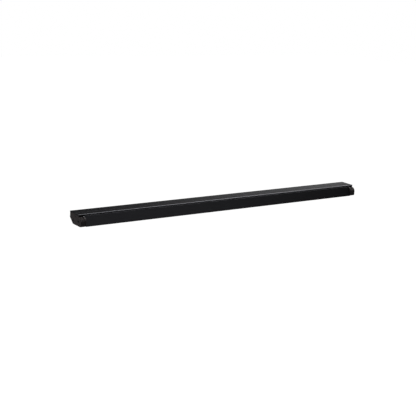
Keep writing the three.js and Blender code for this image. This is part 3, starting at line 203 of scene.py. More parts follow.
@dataclass(frozen=True)
class Finish:
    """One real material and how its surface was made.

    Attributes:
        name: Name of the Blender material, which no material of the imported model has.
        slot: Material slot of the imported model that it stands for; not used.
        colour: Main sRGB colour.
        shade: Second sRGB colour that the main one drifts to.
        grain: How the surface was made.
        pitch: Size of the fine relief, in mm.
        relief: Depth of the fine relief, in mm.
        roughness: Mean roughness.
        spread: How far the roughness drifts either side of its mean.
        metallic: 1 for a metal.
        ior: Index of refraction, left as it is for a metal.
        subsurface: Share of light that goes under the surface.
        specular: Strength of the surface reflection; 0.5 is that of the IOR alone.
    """

    name: str
    slot: str
    colour: str
    shade: str
    grain: Grain
    pitch: float
    relief: float
    roughness: float
    spread: float = 0.05
    metallic: float = 0.0
    ior: float = 1.5
    subsurface: float = 0.0
    specular: float = 0.5

    def stretch(self) -> tuple[float, float, float]:
        """Scale of the pattern along X, Y and Z, in cycles per metre."""
        fine = 1 / (self.pitch * MM)
        return (fine * DRAWN_STRETCH, fine, fine) if self.grain is Grain.DRAWN else (fine, fine, fine)

    def build(self) -> bpy.types.Material:
        """Builds the material, or finds it if it is already there.

        Returns:
            The Blender material.
        """
        known = bpy.data.materials.get(self.name)
        if known:
            return known
        material = bpy.data.materials.new(self.name)
        material.use_nodes = True
        tree = material.node_tree
        shader = tree.nodes["Principled BSDF"]
        shader.inputs["Metallic"].default_value = self.metallic
        if not self.metallic:
            shader.inputs["IOR"].default_value = self.ior
            shader.inputs["Specular IOR Level"].default_value = self.specular
        if self.subsurface:
            shader.inputs["Subsurface Weight"].default_value = self.subsurface
            shader.inputs["Subsurface Radius"].default_value = GLOW_REACH
        place = add_node(tree, "TexCoord").outputs["Object"]
        fine = add_node(tree, "Mapping", {"Scale": self.stretch()}, Vector=place).outputs["Vector"]
        relief = self.draw_relief(tree, fine)
        blotches = {"Scale": DRIFT_SCALE, "Detail": 3.0, "Roughness": 0.55}
        drift = add_node(tree, "TexNoise", blotches, Vector=place)
        tint = add_node(tree, "Mix", {"data_type": "RGBA"}, i0=drift.outputs["Fac"])
        tint.inputs[MIX_FIRST].default_value = linear(self.colour)
        tint.inputs[MIX_SECOND].default_value = linear(self.shade)
        colour = self.pattern(tree, place, tint.outputs[MIX_RESULT])
        tree.links.new(colour, shader.inputs["Base Color"])
        gloss = add_node(
            tree, "MapRange",
            {"To Min": self.roughness - self.spread, "To Max": self.roughness + self.spread},
            Value=relief,
        )
        tree.links.new(gloss.outputs["Result"], shader.inputs["Roughness"])
        depth = {"Strength": RELIEF_STRENGTH, "Distance": self.relief * MM}
        bump = add_node(tree, "Bump", depth, Height=relief)
        tree.links.new(bump.outputs["Normal"], shader.inputs["Normal"])
        return material

    def draw_relief(self, tree: bpy.types.NodeTree, place: bpy.types.NodeSocket) -> bpy.types.NodeSocket:
        """Draws the height of the fine relief.

        Args:
            tree: The material's node tree.
            place: Position, scaled to the pattern's pitch.

        Returns:
            The height, about 0 to 1.
        """
        if self.grain is Grain.ERODED:
            cells = add_node(tree, "TexVoronoi", {"Scale": 1.0, "feature": "SMOOTH_F1"}, Vector=place)
            return cells.outputs["Distance"]
        detail = {Grain.DRAWN: 4.0, Grain.SPRAYED: 1.0, Grain.PLATED: 5.0, Grain.SMOOTH: 2.0}[self.grain]
        return add_node(tree, "TexNoise", {"Scale": 1.0, "Detail": detail}, Vector=place).outputs["Fac"]

    def pattern(
        self, tree: bpy.types.NodeTree, place: bpy.types.NodeSocket, colour: bpy.types.NodeSocket,
    ) -> bpy.types.NodeSocket:
        """Colour pattern over the base colour; none unless a finish draws one."""
        return colour


@dataclass(frozen=True)
class StripedFinish(Finish):
    """Insulation with a second colour in a band along the wire.

    Attributes:
        stripe: sRGB colour of the band.
        band_scale: Scale of the wave that draws the bands. They are 1.6 mm apart, which a wire of 1.8 mm
            shows as one stripe on each side.
    """

    stripe: str = "#e0c528"
    band_scale: float = 600.0

    def pattern(
        self, tree: bpy.types.NodeTree, place: bpy.types.NodeSocket, colour: bpy.types.NodeSocket,
    ) -> bpy.types.NodeSocket:
        """Draws the bands.

        Args:
            tree: The material's node tree.
            place: Position in the object's axes.
            colour: The insulation's colour.

        Returns:
            The colour with its bands.
        """
        wave = {"Scale": self.band_scale, "bands_direction": "Z"}
        bands = add_node(tree, "TexWave", wave, Vector=place)
        return overlay(tree, bands.outputs["Fac"], (0.45, 0.55), colour, self.stripe)


@dataclass(frozen=True)
class CircuitFinish(Finish):
    """Solder mask with copper tracks showing through as slightly lighter lanes.

    Attributes:
        track: sRGB colour of the lanes.
        lane: Distance between lanes, in mm, as wide as the tracks of a mains board.
    """

    track: str = "#2f7a4a"
    lane: float = 3.0

    def pattern(
        self, tree: bpy.types.NodeTree, place: bpy.types.NodeSocket, colour: bpy.types.NodeSocket,
    ) -> bpy.types.NodeSocket:
        """Draws the stepped lanes.

        Args:
            tree: The material's node tree.
            place: Position in the object's axes.
            colour: The solder mask's colour.

        Returns:
            The colour with its lanes.
        """
        steps = {"Scale": 1 / (self.lane * MM), "feature": "F1", "distance": "CHEBYCHEV"}
        cells = add_node(tree, "TexVoronoi", steps, Vector=place)
        return overlay(tree, cells.outputs["Distance"], (0.36, 0.42), colour, self.track)


# Black anodised aluminium: a dyed oxide layer on drawn metal. It is satin, with faint lines along the bar.
# Die lines are about 0.2 mm apart; they are drawn 0.9 mm apart so that they show.
ANODISED = Finish(
    "drawn_anodised_aluminium", "black_anodised_aluminium", "#363639", "#313134", Grain.DRAWN, 0.9, 0.007,
    roughness=0.36, spread=0.04, metallic=1.0)
# Powder-coated steel: matt, with the slight orange peel of baked powder.
POWDER_COAT = Finish(
    "powder_coated_steel", "black_coated_steel", "#131314", "#171718", Grain.SPRAYED, 1.6, 0.03,
    roughness=0.75, ior=1.52, specular=0.25)
# Charcoal ABS from a spark-eroded tool: dull and even, with a fine leathery grain.
# The grain is about 0.2 mm; it is drawn at 0.7 mm so that it shows.
CHARCOAL_ABS = Finish(
    "eroded_charcoal_abs", "charcoal_abs", "#2f2b2c", "#2a2627", Grain.ERODED, 0.7, 0.03,
    roughness=0.72, ior=1.54, specular=0.1)
# Black-oxide steel: dark blue-black metal with a soft sheen.
BLACK_OXIDE = Finish(
    "oxide_blackened_steel", "black_oxide_steel", "#38383c", "#2e2e31", Grain.PLATED, 1.2, 0.01,
    roughness=0.38, metallic=1.0)
# Zinc-plated steel: pale, slightly cloudy metal.
ZINC = Finish(
    "bright_zinc_plated_steel", "zinc_plated_steel", "#c0c3c7", "#aeb2b8", Grain.PLATED, 2.0, 0.01,
    roughness=0.32, spread=0.08, metallic=1.0)
# Natural nylon: waxy off-white that lets a little light in.
NYLON = Finish(
    "natural_nylon", "nylon", "#e6e2d8", "#ded9cc", Grain.SMOOTH, 1.5, 0.01,
    roughness=0.45, ior=1.53, subsurface=0.15)
# Nitrile rubber: matt black, no sheen.
RUBBER = Finish(
    "nitrile_rubber", "rubber", "#171717", "#1d1d1d", Grain.SPRAYED, 0.6, 0.02,
    roughness=0.82, ior=1.52)
# Filled silicone pad: chalky grey.
SILICONE = Finish(
    "filled_silicone_rubber", "silicone_pad", "#8c8f94", "#84878c", Grain.SPRAYED, 0.8, 0.02,
    roughness=0.85, ior=1.43)
# White solder mask over an aluminium board.
SOLDER_MASK = CircuitFinish(
    "solder_masked_board", "white_solder_mask", "#eef0ec", "#e8eae6", Grain.SMOOTH, 2.0, 0.01,
    roughness=0.35, ior=1.55, track="#e2e5e0", lane=4.0)
# Reflector sheet: glossy white PET.
REFLECTOR = Finish(
    "white_pet_reflector", "white_reflector", "#fafafa", "#f4f4f4", Grain.SMOOTH, 3.0, 0.005,
    roughness=0.25, ior=1.57)
# Opal acrylic (PMMA): milky, satin face.
OPAL = Finish(
    "extruded_opal_acrylic", "opal_acrylic", "#f4f4f2", "#f0f0ee", Grain.SMOOTH, 1.2, 0.006,
    roughness=0.34, spread=0.03, ior=1.49, subsurface=0.35)
# White polycarbonate driver case.
POLYCARBONATE = Finish(
    "moulded_polycarbonate", "white_polycarbonate", "#ececea", "#e6e6e3", Grain.ERODED, 0.8, 0.02,
    roughness=0.5, ior=1.585)
# Green glass-epoxy circuit board.
CIRCUIT = CircuitFinish(
    "glass_epoxy_board", "green_circuit_board", "#1d5c34", "#1a5230", Grain.SMOOTH, 2.0, 0.01,
    roughness=0.35, ior=1.55)
# Polyamide terminals: dry off-white.
POLYAMIDE = Finish(
    "polyamide", "polyamide_terminal", "#dcdcd6", "#d4d3cb", Grain.ERODED, 0.8, 0.02,
    roughness=0.5, ior=1.53)
# PVC insulation: slightly soft gloss.
BROWN_PVC = Finish(
    "brown_pvc_insulation", "brown_pvc", "#6b3a1e", "#61351b", Grain.SMOOTH, 1.0, 0.01,
    roughness=0.42, ior=1.53)
BLUE_PVC = Finish(
    "blue_pvc_insulation", "blue_pvc", "#2f64b4", "#2a5ba6", Grain.SMOOTH, 1.0, 0.01,
    roughness=0.42, ior=1.53)
EARTH_PVC = StripedFinish(
    "striped_pvc_insulation", "green_yellow_pvc", "#2f8a3c", "#2b8038", Grain.SMOOTH, 1.0, 0.01,
    roughness=0.42, ior=1.53)
WHITE_PVC = Finish(
    "white_pvc_sheath", "white_pvc", "#e8e8e8", "#e0e0e0", Grain.SMOOTH, 1.0, 0.01,
    roughness=0.42, ior=1.53)


# ---------------------------------------------------------------------------
# Mesh tools
# ---------------------------------------------------------------------------


class Axis(Enum):
    """The axis that an outline is drawn along."""

    X = "along the bar"
    Y = "from front to back"


class Cut(Enum):
    """What a cutter does to a piece, by the name of Blender's own operation."""

    AWAY = "DIFFERENCE"
    JOIN = "UNION"


@dataclass
class Outline:
    """A closed outline in Y and Z, in mm, with rounded corners and arcs.

    Attributes:
        steps: Points on a quarter of a round.
        marks: Y, Z and corner radius of each point so far.
    """

    steps: int = 10
    marks: list[tuple[float, float, float]] = field(default_factory=list)

    def corner(self, y: float, z: float, radius: float = 0.0) -> "Outline":
        """Adds a corner, rounded to a radius, and returns the outline itself."""
        self.marks.append((y, z, radius))
        return self

    def arc(self, y: float, z: float, radius: float, start: float, end: float) -> "Outline":
        """Adds an arc round a centre.

        Args:
            y: Y of the centre.
            z: Z of the centre.
            radius: The arc's radius.
            start: Angle at which it starts, in degrees from +Y towards +Z.
            end: Angle at which it ends.

        Returns:
            The outline itself.
        """
        count = max(3, int(abs(end - start) / 90 * self.steps) + 1)
        for i in range(count + 1):
            angle = math.radians(start + (end - start) * i / count)
            self.marks.append((y + radius * math.cos(angle), z + radius * math.sin(angle), 0.0))
        return self

    def points(self, inwards: float = 0.0) -> list[Vector]:
        """The outline as points, moved inwards, with every corner rounded.

        A convex corner's radius shrinks as it moves inwards, and a hollow corner's grows, so each corner
        always gives as many points.

        Args:
            inwards: How far each side moves inwards, in mm.

        Returns:
            Points in mm, anticlockwise as seen from +X.
        """
        spots = [Vector(mark[:2]) for mark in self.marks]
        radii = [mark[2] for mark in self.marks]
        if sum(a.cross(b) for a, b in zip(spots, spots[1:] + spots[:1])) < 0:
            spots.reverse()
            radii.reverse()
        loop: list[Vector] = []
        count = len(spots)
        for i, (here, radius) in enumerate(zip(spots, radii)):
            arriving = (here - spots[i - 1]).normalized()
            leaving = (spots[(i + 1) % count] - here).normalized()
            turn = math.atan2(arriving.cross(leaving), arriving.dot(leaving))
            normal = Vector((-arriving.y - leaving.y, arriving.x + leaving.x)).normalized()
            tip = here + normal * inwards / math.cos(turn / 2)
            if radius <= 0:
                loop.append(tip)
                continue
            bend = max(radius - inwards, 0.0) if turn > 0 else radius + inwards
            reach = bend * math.tan(abs(turn) / 2)
            first = tip - arriving * reach
            side = 1 if turn > 0 else -1
            centre = first + Vector((-arriving.y, arriving.x)) * bend * side
            pieces = max(2, int(abs(turn) / (math.pi / 2) * self.steps) + 1)
            for k in range(pieces + 1):
                loop.append(centre + Matrix.Rotation(turn * k / pieces, 2) @ (first - centre))
        return loop


def rectangle(low_y: float, low_z: float, high_y: float, high_z: float) -> Outline:
    """An upright rectangle between two corners, in mm, as an outline."""
    return Outline().corner(low_y, low_z).corner(high_y, low_z).corner(high_y, high_z).corner(low_y, high_z)


def new_piece(name: str, mesh: bmesh.types.BMesh) -> bpy.types.Object:
    """Puts a finished bmesh into the scene as an object.

    Args:
        name: The object's name.
        mesh: The bmesh, in metres, which is freed.

    Returns:
        The new object.
    """
    bmesh.ops.recalc_face_normals(mesh, faces=mesh.faces)
    data = bpy.data.meshes.new(name)
    mesh.to_mesh(data)
    mesh.free()
    piece = bpy.data.objects.new(name, data)
    bpy.context.scene.collection.objects.link(piece)
    return piece


def rings_to_mesh(rings: Sequence[Sequence[Vector]]) -> bmesh.types.BMesh:
    """Skins a closed solid over rings of points, with a cap on the first and the last.

    Args:
        rings: Rings with as many points each, in metres.

    Returns:
        The solid as a bmesh.
    """
    mesh = bmesh.new()
    made = [[mesh.verts.new(point) for point in ring] for ring in rings]
    for one, two in zip(made, made[1:]):
        for i in range(len(one)):
            j = (i + 1) % len(one)
            mesh.faces.new((one[i], one[j], two[j], two[i]))
    mesh.faces.new(made[0][::-1])
    mesh.faces.new(made[-1])
    bmesh.ops.remove_doubles(mesh, verts=mesh.verts, dist=MERGE_REACH)
    bmesh.ops.dissolve_degenerate(mesh, edges=mesh.edges, dist=SHORTEST_EDGE)
    return mesh


def prism(
    name: str, outline: Outline, low: float, high: float, edge: float, axis: Axis = Axis.X,
) -> bpy.types.Object:
    """Draws an outline out along an axis, with rounded end edges.

    Args:
        name: The object's name.
        outline: The section. Its first value runs along Y, or along X where the axis is Y, and its second
            along Z.
        low: Where the solid starts on the axis, in mm.
        high: Where it ends.
        edge: Radius of the end edges, in mm; 0 leaves them sharp.
        axis: The axis that the outline is drawn along.

    Returns:
        The new object.
    """
    levels = [(low, 0.0), (high, 0.0)]
    if edge:
        quarter = [math.pi / 2 * k / EDGE_STEPS for k in range(EDGE_STEPS + 1)]
        levels = [(low + edge * (1 - math.sin(t)), edge * (1 - math.cos(t))) for t in quarter[::-1]]
        levels += [(high - edge * (1 - math.sin(t)), edge * (1 - math.cos(t))) for t in quarter]
    rings = []
    for along, inwards in levels:
        ring = outline.points(inwards)
        if axis is Axis.X:
            rings.append([Vector((along, p.x, p.y)) * MM for p in ring])
        else:
            rings.append([Vector((p.x, along, p.y)) * MM for p in ring])
    return new_piece(name, rings_to_mesh(rings))


def lathe(
    name: str, profile: Iterable[tuple[float, float]], start: Vector, along: Vector, sides: int = 40,
) -> bpy.types.Object:
    """Turns a profile round an axis.

    Args:
        name: The object's name.
        profile: (distance along the axis, radius) pairs in mm, from one end on the axis to the other.
        start: Where the axis starts, in mm.
        along: Unit direction of the axis.
        sides: Number of sides.

    Returns:
        The new object.
    """
    across = along.orthogonal().normalized()
    rings = []
    for distance, radius in profile:
        turn = (Matrix.Rotation(math.tau * k / sides, 3, along) for k in range(sides))
        place, reach = start + along * distance, max(radius, AXIS_RADIUS)
        rings.append([(place + (r @ across) * reach) * MM for r in turn])
    return new_piece(name, rings_to_mesh(rings))


def drill(start: Vector, along: Vector, depth: float, radius: float, sides: int = 40) -> bpy.types.Object:
    """A round cutter that goes right through a wall `depth` thick and past both its faces."""
    profile = [(0, radius), (depth + 2 * PAST, radius)]
    return lathe("drill", profile, start - along * PAST, along, sides)


def carve(piece: bpy.types.Object, cutters: Sequence[bpy.types.Object], how: Cut = Cut.AWAY) -> None:
    """Cuts cutters out of a piece, or joins them to it, and removes the cutters.

    Args:
        piece: The object that changes.
        cutters: Closed solids.
        how: Whether the cutters are cut away or joined on.
    """
    for cutter in cutters:
        change = piece.modifiers.new("carve", "BOOLEAN")
        change.operation = how.value
        change.solver = "EXACT"
        change.object = cutter
    graph = bpy.context.evaluated_depsgraph_get()
    result = bpy.data.meshes.new_from_object(piece.evaluated_get(graph))
    old = piece.data
    piece.modifiers.clear()
    piece.data = result
    result.name = piece.name
    bpy.data.meshes.remove(old)
    for cutter in cutters:
        bpy.data.objects.remove(cutter)


def finish_surface(piece: bpy.types.Object) -> None:
    """Shades a piece smooth, keeps its sharp edges and evens the shading over its flat faces.

    Args:
        piece: The object.
    """
    piece.data.shade_smooth()
    piece.data.set_sharp_from_angle(angle=math.radians(SHARP_ANGLE))
    even = piece.modifiers.new("even_shading", "WEIGHTED_NORMAL")
    even.keep_sharp = True


def dress(piece: bpy.types.Object, finish: Finish, body: str, node: str) -> bpy.types.Object:
    """Gives a piece its material and its body, and hides the model node that it stands for.

    Args:
        piece: The object.
        finish: Its material.
        body: The moving body that it rides on.
        node: The node that it replaces.

    Returns:
        The same object.
    """
    piece.data.materials.clear()
    piece.data.materials.append(finish.build())
    finish_surface(piece)
    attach(piece, body)
    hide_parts(node)
    LOG.info("built %s in %s, riding on %s", piece.name, finish.name, body)
    return piece


def keep(node: str, finish: Finish, edge: float) -> None:
    """Keeps a node's own shape, softens its edges and gives it its material.

    Args:
        node: Name of the node.
        finish: Its material.
        edge: Radius of its edges, in mm.
    """
    piece = frame["nodes"][node]
    weld = piece.modifiers.new("weld", "WELD")
    weld.merge_threshold = WELD_REACH * MM
    soft = piece.modifiers.new("soft_edges", "BEVEL")
    soft.width = edge * MM
    soft.segments = 2
    soft.limit_method = "ANGLE"
    soft.angle_limit = math.radians(ROUNDED_ANGLE)
    for i in range(len(piece.data.materials)):
        piece.data.materials[i] = finish.build()
    LOG.info("kept %s in %s", node, finish.name)


def low_high(node: str) -> tuple[Vector, Vector]:
    """Lowest and highest corners of a node, in mm."""
    low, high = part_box(node)
    return low / MM, high / MM


def middle_of(node: str) -> Vector:
    """Middle of a node's box, in mm."""
    return sum(low_high(node), Vector()) / 2


# ---------------------------------------------------------------------------
# Section shared by the sub-assemblies
# ---------------------------------------------------------------------------


@dataclass
class Section:
    """Levels and planes of the bar's section, in mm, found from the frame and a few wall sizes.

    Attributes:
        wall: Wall of the extrusions.
        top_wall: Thickness of the top plate.
        lip_drop: Height of the top plate's front lip.
        lip_radius: Radius along its front edge.
        rear_face: Height of the upright part of the back.
        slope_depth: How far from the wall the sloping underside reaches.
        slope_radius: Radius where it meets the flat underside.
        band_setback: How far the cheeks' front band stands behind the lip.
        part_gap: Gap between parts that fit together.
        swing_gap: Gap between the lip and the head that turns under it.
        band_corner: Radius at the top of the front band.
    """

    wall: float = 1.8
    top_wall: float = 2.0
    lip_drop: float = 3.0
    lip_radius: float = 2.6
    rear_face: float = 15.0
    slope_depth: float = 16.6
    slope_radius: float = 5.0
    band_setback: float = 0.6
    part_gap: float = 0.3
    swing_gap: float = 0.5
    band_corner: float = 0.25

    def __post_init__(self) -> None:
        """Reads the planes from the nodes' boxes and the tilt's joint."""
        low, high = low_high("top_cover")
        self.end, self.front, self.back = high.x, low.y, high.y
        self.top, self.bottom = high.z, low.z
        self.nose = low_high("end_cheek_left")[0].y
        channel_low, channel_high = low_high("rear_channel")
        self.shell_end = channel_high.x
        self.web_back = channel_low.y - self.part_gap
        self.rail_top = channel_high.z
        self.top_under = self.top - self.top_wall
        self.back_wall = low_high("wall_rail")[0].y - self.part_gap
        self.slope_top = self.top - self.rear_face
        self.foot_top = -self.rail_top - self.part_gap
        self.band = self.front + self.band_setback
        tilt = frame["record"]["behaviour"]["joints"][0]["pos_m"]
        self.pivot = Vector((0.0, tilt[1] / MM, tilt[2] / MM))
        self.nose_radius = self.pivot.y - self.nose
        self.swing = self.top - self.pivot.z - self.lip_drop - self.swing_gap

    def slope(self, z: float, inward: float = 0.0) -> float:
        """Y of the sloping underside at a height, moved inwards, in mm."""
        run, rise = self.slope_depth + self.back, self.slope_top - self.bottom
        return self.back - ((self.slope_top - z) * run + inward * math.hypot(run, rise)) / rise

    def nose_path(self, outline: Outline, level: float, corner: float = 4.0, neck: float = 1.0) -> None:
        """Adds the nose and the upright band to an outline, from the underside up.

        Args:
            outline: The outline, which has come along the underside towards the front.
            level: Height at which the band ends.
            corner: Radius of the nose's lower corner.
            neck: Radius of the hollow corner between nose and band.
        """
        outline.corner(self.nose, self.bottom, corner)
        neck_y = self.band - neck
        reach = self.nose_radius + neck
        angle = math.degrees(math.acos((neck_y - self.pivot.y) / reach))
        neck_z = self.pivot.z + reach * math.sin(math.radians(angle))
        outline.arc(self.pivot.y, self.pivot.z, self.nose_radius, 180, angle)
        outline.arc(neck_y, neck_z, neck, angle - 180, 0)
        outline.corner(self.band, level, self.band_corner)


# ---------------------------------------------------------------------------
# Fasteners
# ---------------------------------------------------------------------------


@dataclass
class PanScrew:
    """A cross-recessed pan-head screw in a node's box.

    Attributes:
        node: The node that it replaces.
        along: Direction from the head into the material.
        finish: Its material.
        body: The body that it rides on.
        head_height: Height of the head, in mm.
        shank: Radius of the shank, in mm.
        crown: Rise of the head's crown, as a share of its height.
        edge: Rounding at the rim of the head, in mm.
        root: Rounding where the shank meets the head, in mm.
        blade: Half width of the recess's arms, as a share of the head's radius.
        recess_mouth: Where the recess's cutter starts over the crown, in mm, and its reach, in radii of
            the head.
        recess_walls: Depth, in heights of the head, and reach, in radii of it, down the recess.
    """

    node: str
    along: Vector
    finish: Finish
    body: str
    head_height: float
    shank: float
    crown: float = 0.32
    edge: float = 0.12
    root: float = 0.1
    blade: float = 0.13
    recess_mouth: tuple[float, float] = (-0.5, 0.62)
    recess_walls: tuple[tuple[float, float], ...] = ((0.2, 0.56), (0.8, 0.2))

    def build(self) -> None:
        """Turns the screw, cuts its recess and dresses it."""
        low, high = low_high(self.node)
        middle, size = (low + high) / 2, high - low
        length = abs(size.dot(self.along))
        head = sorted(size)[1] / 2
        start = middle - self.along * length / 2
        rise, rim, edge = self.crown * self.head_height, self.head_height, self.edge
        turns = (math.pi / 2 * k / CROWN_STEPS for k in range(CROWN_STEPS + 1))
        profile = [(rise * (1 - math.cos(t)), head * math.sin(t)) for t in turns]
        profile += [
            (rim - edge, head), (rim, head - edge), (rim, self.shank + self.root),
            (rim + self.root, self.shank), (length - self.shank, self.shank), (length, self.shank * POINT)]
        screw = lathe(self.node + "_turned", profile, start, self.along)
        carve(screw, self.recess(start, head))
        dress(screw, self.finish, self.body, self.node)

    def recess(self, start: Vector, head: float) -> list[bpy.types.Object]:
        """Two tapered blades that cut the cross recess.

        Args:
            start: Crown of the head, in mm.
            head: Radius of the head, in mm.

        Returns:
            The two cutters.
        """
        across = self.along.orthogonal().normalized()
        levels = [self.recess_mouth]
        levels += [(self.head_height * depth, reach) for depth, reach in self.recess_walls]
        blades = []
        for turn in (0, 90):
            wide = Matrix.Rotation(math.radians(turn), 3, self.along) @ across
            thin = self.along.cross(wide) * head * self.blade
            rings = []
            for depth, reach in levels:
                centre, arm = start + self.along * depth, wide * head * reach
                corners = (-arm - thin, arm - thin, arm + thin, thin - arm)
                rings.append([(centre + corner) * MM for corner in corners])
            blades.append(new_piece("recess", rings_to_mesh(rings)))
        return blades


# ---------------------------------------------------------------------------
# Sub-assemblies
# ---------------------------------------------------------------------------


@dataclass
class WallRail:
    """Folded steel rail with two mounting slots, a cable slot and its lock-screw holes.

    Attributes:
        sheet: Thickness of the steel, in mm.
        bend: Radius inside its folds.
        fold: Radius outside them.
        cut: Radius along its cut edges.
        slot_size: Length and height of a mounting slot.
        cable_slot_size: Length and height of the cable slot.
        lock_hole: Radius of a lock screw's hole.
    """

    sheet: float = 1.5
    bend: float = 0.6
    fold: float = 1.0
    cut: float = 0.2
    slot_size: tuple[float, float] = (12.0, 5.0)
    cable_slot_size: tuple[float, float] = (30.0, 6.6)
    lock_hole: float = 1.35

    def build(self) -> None:
        """Folds the rail, cuts its holes and dresses it."""
        low, high = low_high("wall_rail")
        inner_y, inner_low, inner_high = high.y - self.sheet, low.z + self.sheet, high.z - self.sheet
        section = Outline()
        section.corner(high.y, low.z, self.fold).corner(high.y, high.z, self.fold)
        section.corner(low.y, high.z, self.cut).corner(low.y, inner_high, self.cut)
        section.corner(inner_y, inner_high, self.bend).corner(inner_y, inner_low, self.bend)
        section.corner(low.y, inner_low, self.cut).corner(low.y, low.z, self.cut)
        rail = prism("wall_rail_folded", section, low.x, high.x, self.cut)
        cutters = self.slot_cutters()
        for side in SIDES:
            centre = middle_of(f"lock_screw_{side}")
            start = Vector((centre.x, centre.y, low.z))
            cutters.append(drill(start, UPWARDS, self.sheet, self.lock_hole))
        carve(rail, cutters)
        dress(rail, POWDER_COAT, HOUSING, "wall_rail")

    def slot_cutters(self) -> list[bpy.types.Object]:
        """Round-ended cutters through the rail's web, one at each opening.

        Returns:
            Closed solids.
        """
        cutters = []
        for opening in frame["record"]["physics"]["openings"]:
            (low, _, _), (high, _, _) = opening["box_m"]
            centre = (low + high) / 2 / MM
            cable = opening["name"] == "cable_slot"
            length, height = self.cable_slot_size if cable else self.slot_size
            reach, round_end = (length - height) / 2, height / 2
            shape = Outline(12).arc(centre - reach, 0, round_end, 90, 270)
            shape.arc(centre + reach, 0, round_end, -90, 90)
            cutters.append(prism("slot", shape, -self.sheet - PAST, PAST, 0, Axis.Y))
        return cutters


@dataclass
class Housing:
    """Top cover and rear channel, the two extrusions of the fixed housing.

    Attributes:
        section: The bar's section.
        edge: Radius along the cut ends, in mm.
        cover_edge: The same on the top cover.
        corner: Radius of the small corners.
        root: Radius where walls meet.
        groove_behind_front: From the front to the middle of the top plate's groove.
        groove_width: Width of the groove.
        groove_depth: Its depth.
        groove_corner: Radius of its corners.
        top_back: Radius along the top plate's back edge.
        back_corner: Radius between the upright back and the slope.
        web_overlap: How far the web runs into the top plate.
        port_overlap: How far a port's rib runs into the wall that carries it.
        port_radius: Outer radius of a screw port.
        port_bore: Radius of its bore.
        port_rib: Thickness of the rib that carries it.
        cable_hole: Radius of the grommet's hole.
    """

    section: Section
    edge: float = 0.2
    cover_edge: float = 0.25
    corner: float = 0.3
    root: float = 0.4
    groove_behind_front: float = 14.6
    groove_width: float = 1.2
    groove_depth: float = 0.5
    groove_corner: float = 0.15
    top_back: float = 0.6
    back_corner: float = 0.8
    web_overlap: float = 0.5
    port_overlap: float = 0.6
    port_radius: float = 2.8
    port_bore: float = 1.5
    port_rib: float = 1.6
    cable_hole: float = 4.3

    def build(self) -> None:
        """Builds and dresses both extrusions."""
        self.build_top_cover()
        self.build_rear_channel()

    def port(self, node: str, rib_to: float, end: float) -> list[bpy.types.Object]:
        """Boss and rib round a cheek screw, to be joined to an extrusion.

        Args:
            node: The screw whose axis the port follows.
            rib_to: Height that the rib reaches, in mm.
            end: Half length of the port, in mm.

        Returns:
            The boss and the rib.
        """
        centre = middle_of(node)
        boss = Outline(12).arc(centre.y, centre.z, self.port_radius, 0, FULL_RING)
        low, high = sorted((centre.z, rib_to))
        half = self.port_rib / 2
        rib = rectangle(centre.y - half, low, centre.y + half, high)
        return [prism("boss", boss, -end, end, self.edge), prism("rib", rib, INSET - end, end - INSET, 0)]

    def bore(self, node: str) -> bpy.types.Object:
        """Cutter for the bore that a cheek screw goes into."""
        centre, end = middle_of(node), self.section.shell_end
        return drill(Vector((-end, centre.y, centre.z)), ALONG_BAR, 2 * end, self.port_bore, 24)

    def build_top_cover(self) -> None:
        """Top plate with rounded lip and groove, and the web under it."""
        s = self.section
        lip, under, root = s.top - s.lip_drop, s.top_under, self.root
        rear, front = (s.front + self.groove_behind_front + self.groove_width / 2 * k for k in (1, -1))
        groove_floor, nick = s.top - self.groove_depth, self.groove_corner
        plate = Outline(14)
        plate.corner(s.back, under, self.corner).corner(s.back, s.top, self.top_back)
        plate.corner(rear, s.top, nick).corner(rear, groove_floor, nick)
        plate.corner(front, groove_floor, nick).corner(front, s.top, nick)
        plate.corner(s.front, s.top, s.lip_radius).corner(s.front, lip, self.corner)
        plate.corner(s.front + s.wall, lip, self.corner).corner(s.front + s.wall, under, root)
        cover = prism("top_cover_extrusion", plate, -s.end, s.end, self.cover_edge)
        joined, web_front = under + self.web_overlap, s.web_back - s.wall
        web = Outline().corner(s.web_back, joined).corner(web_front, joined)
        web.corner(web_front, s.bottom, self.corner).corner(s.web_back, s.bottom, self.corner)
        parts = [prism("web", web, -s.shell_end, s.shell_end, self.edge)]
        parts += self.port("cheek_screw_left_upper", under + self.port_overlap, s.shell_end)
        carve(cover, parts, Cut.JOIN)
        carve(cover, [self.bore("cheek_screw_left_upper")])
        dress(cover, ANODISED, HOUSING, "top_cover")

    def build_rear_channel(self) -> None:
        """Back wall, foot, sloping underside and lower screw port."""
        s = self.section
        floor, foot_under = s.bottom + s.wall, s.foot_top - s.wall
        front, back = s.web_back + s.part_gap, s.back_wall - s.wall
        corner, root, inner_radius = self.corner, self.root, s.slope_radius - s.wall
        channel = Outline(12)
        channel.corner(s.back_wall, s.rail_top, corner).corner(s.back_wall, s.foot_top, root)
        channel.corner(s.back, s.foot_top, root).corner(s.back, s.slope_top, self.back_corner)
        channel.corner(s.slope(s.bottom), s.bottom, s.slope_radius).corner(front, s.bottom, corner)
        channel.corner(front, floor, corner).corner(s.slope(floor, s.wall), floor, inner_radius)
        channel.corner(s.slope(foot_under, s.wall), foot_under, self.edge)
        channel.corner(back, foot_under, corner).corner(back, s.rail_top, corner)
        extrusion = prism("rear_channel_extrusion", channel, -s.shell_end, s.shell_end, self.edge)
        port = self.port("cheek_screw_left_lower", floor - self.port_overlap, s.shell_end)
        carve(extrusion, port, Cut.JOIN)
        grommet = middle_of("cable_grommet")
        entry = Vector((grommet.x, s.back_wall, grommet.z))
        hole = drill(entry, Vector((0, -1, 0)), s.wall, self.cable_hole)
        carve(extrusion, [self.bore("cheek_screw_left_lower"), hole])
        dress(extrusion, ANODISED, HOUSING, "rear_channel")


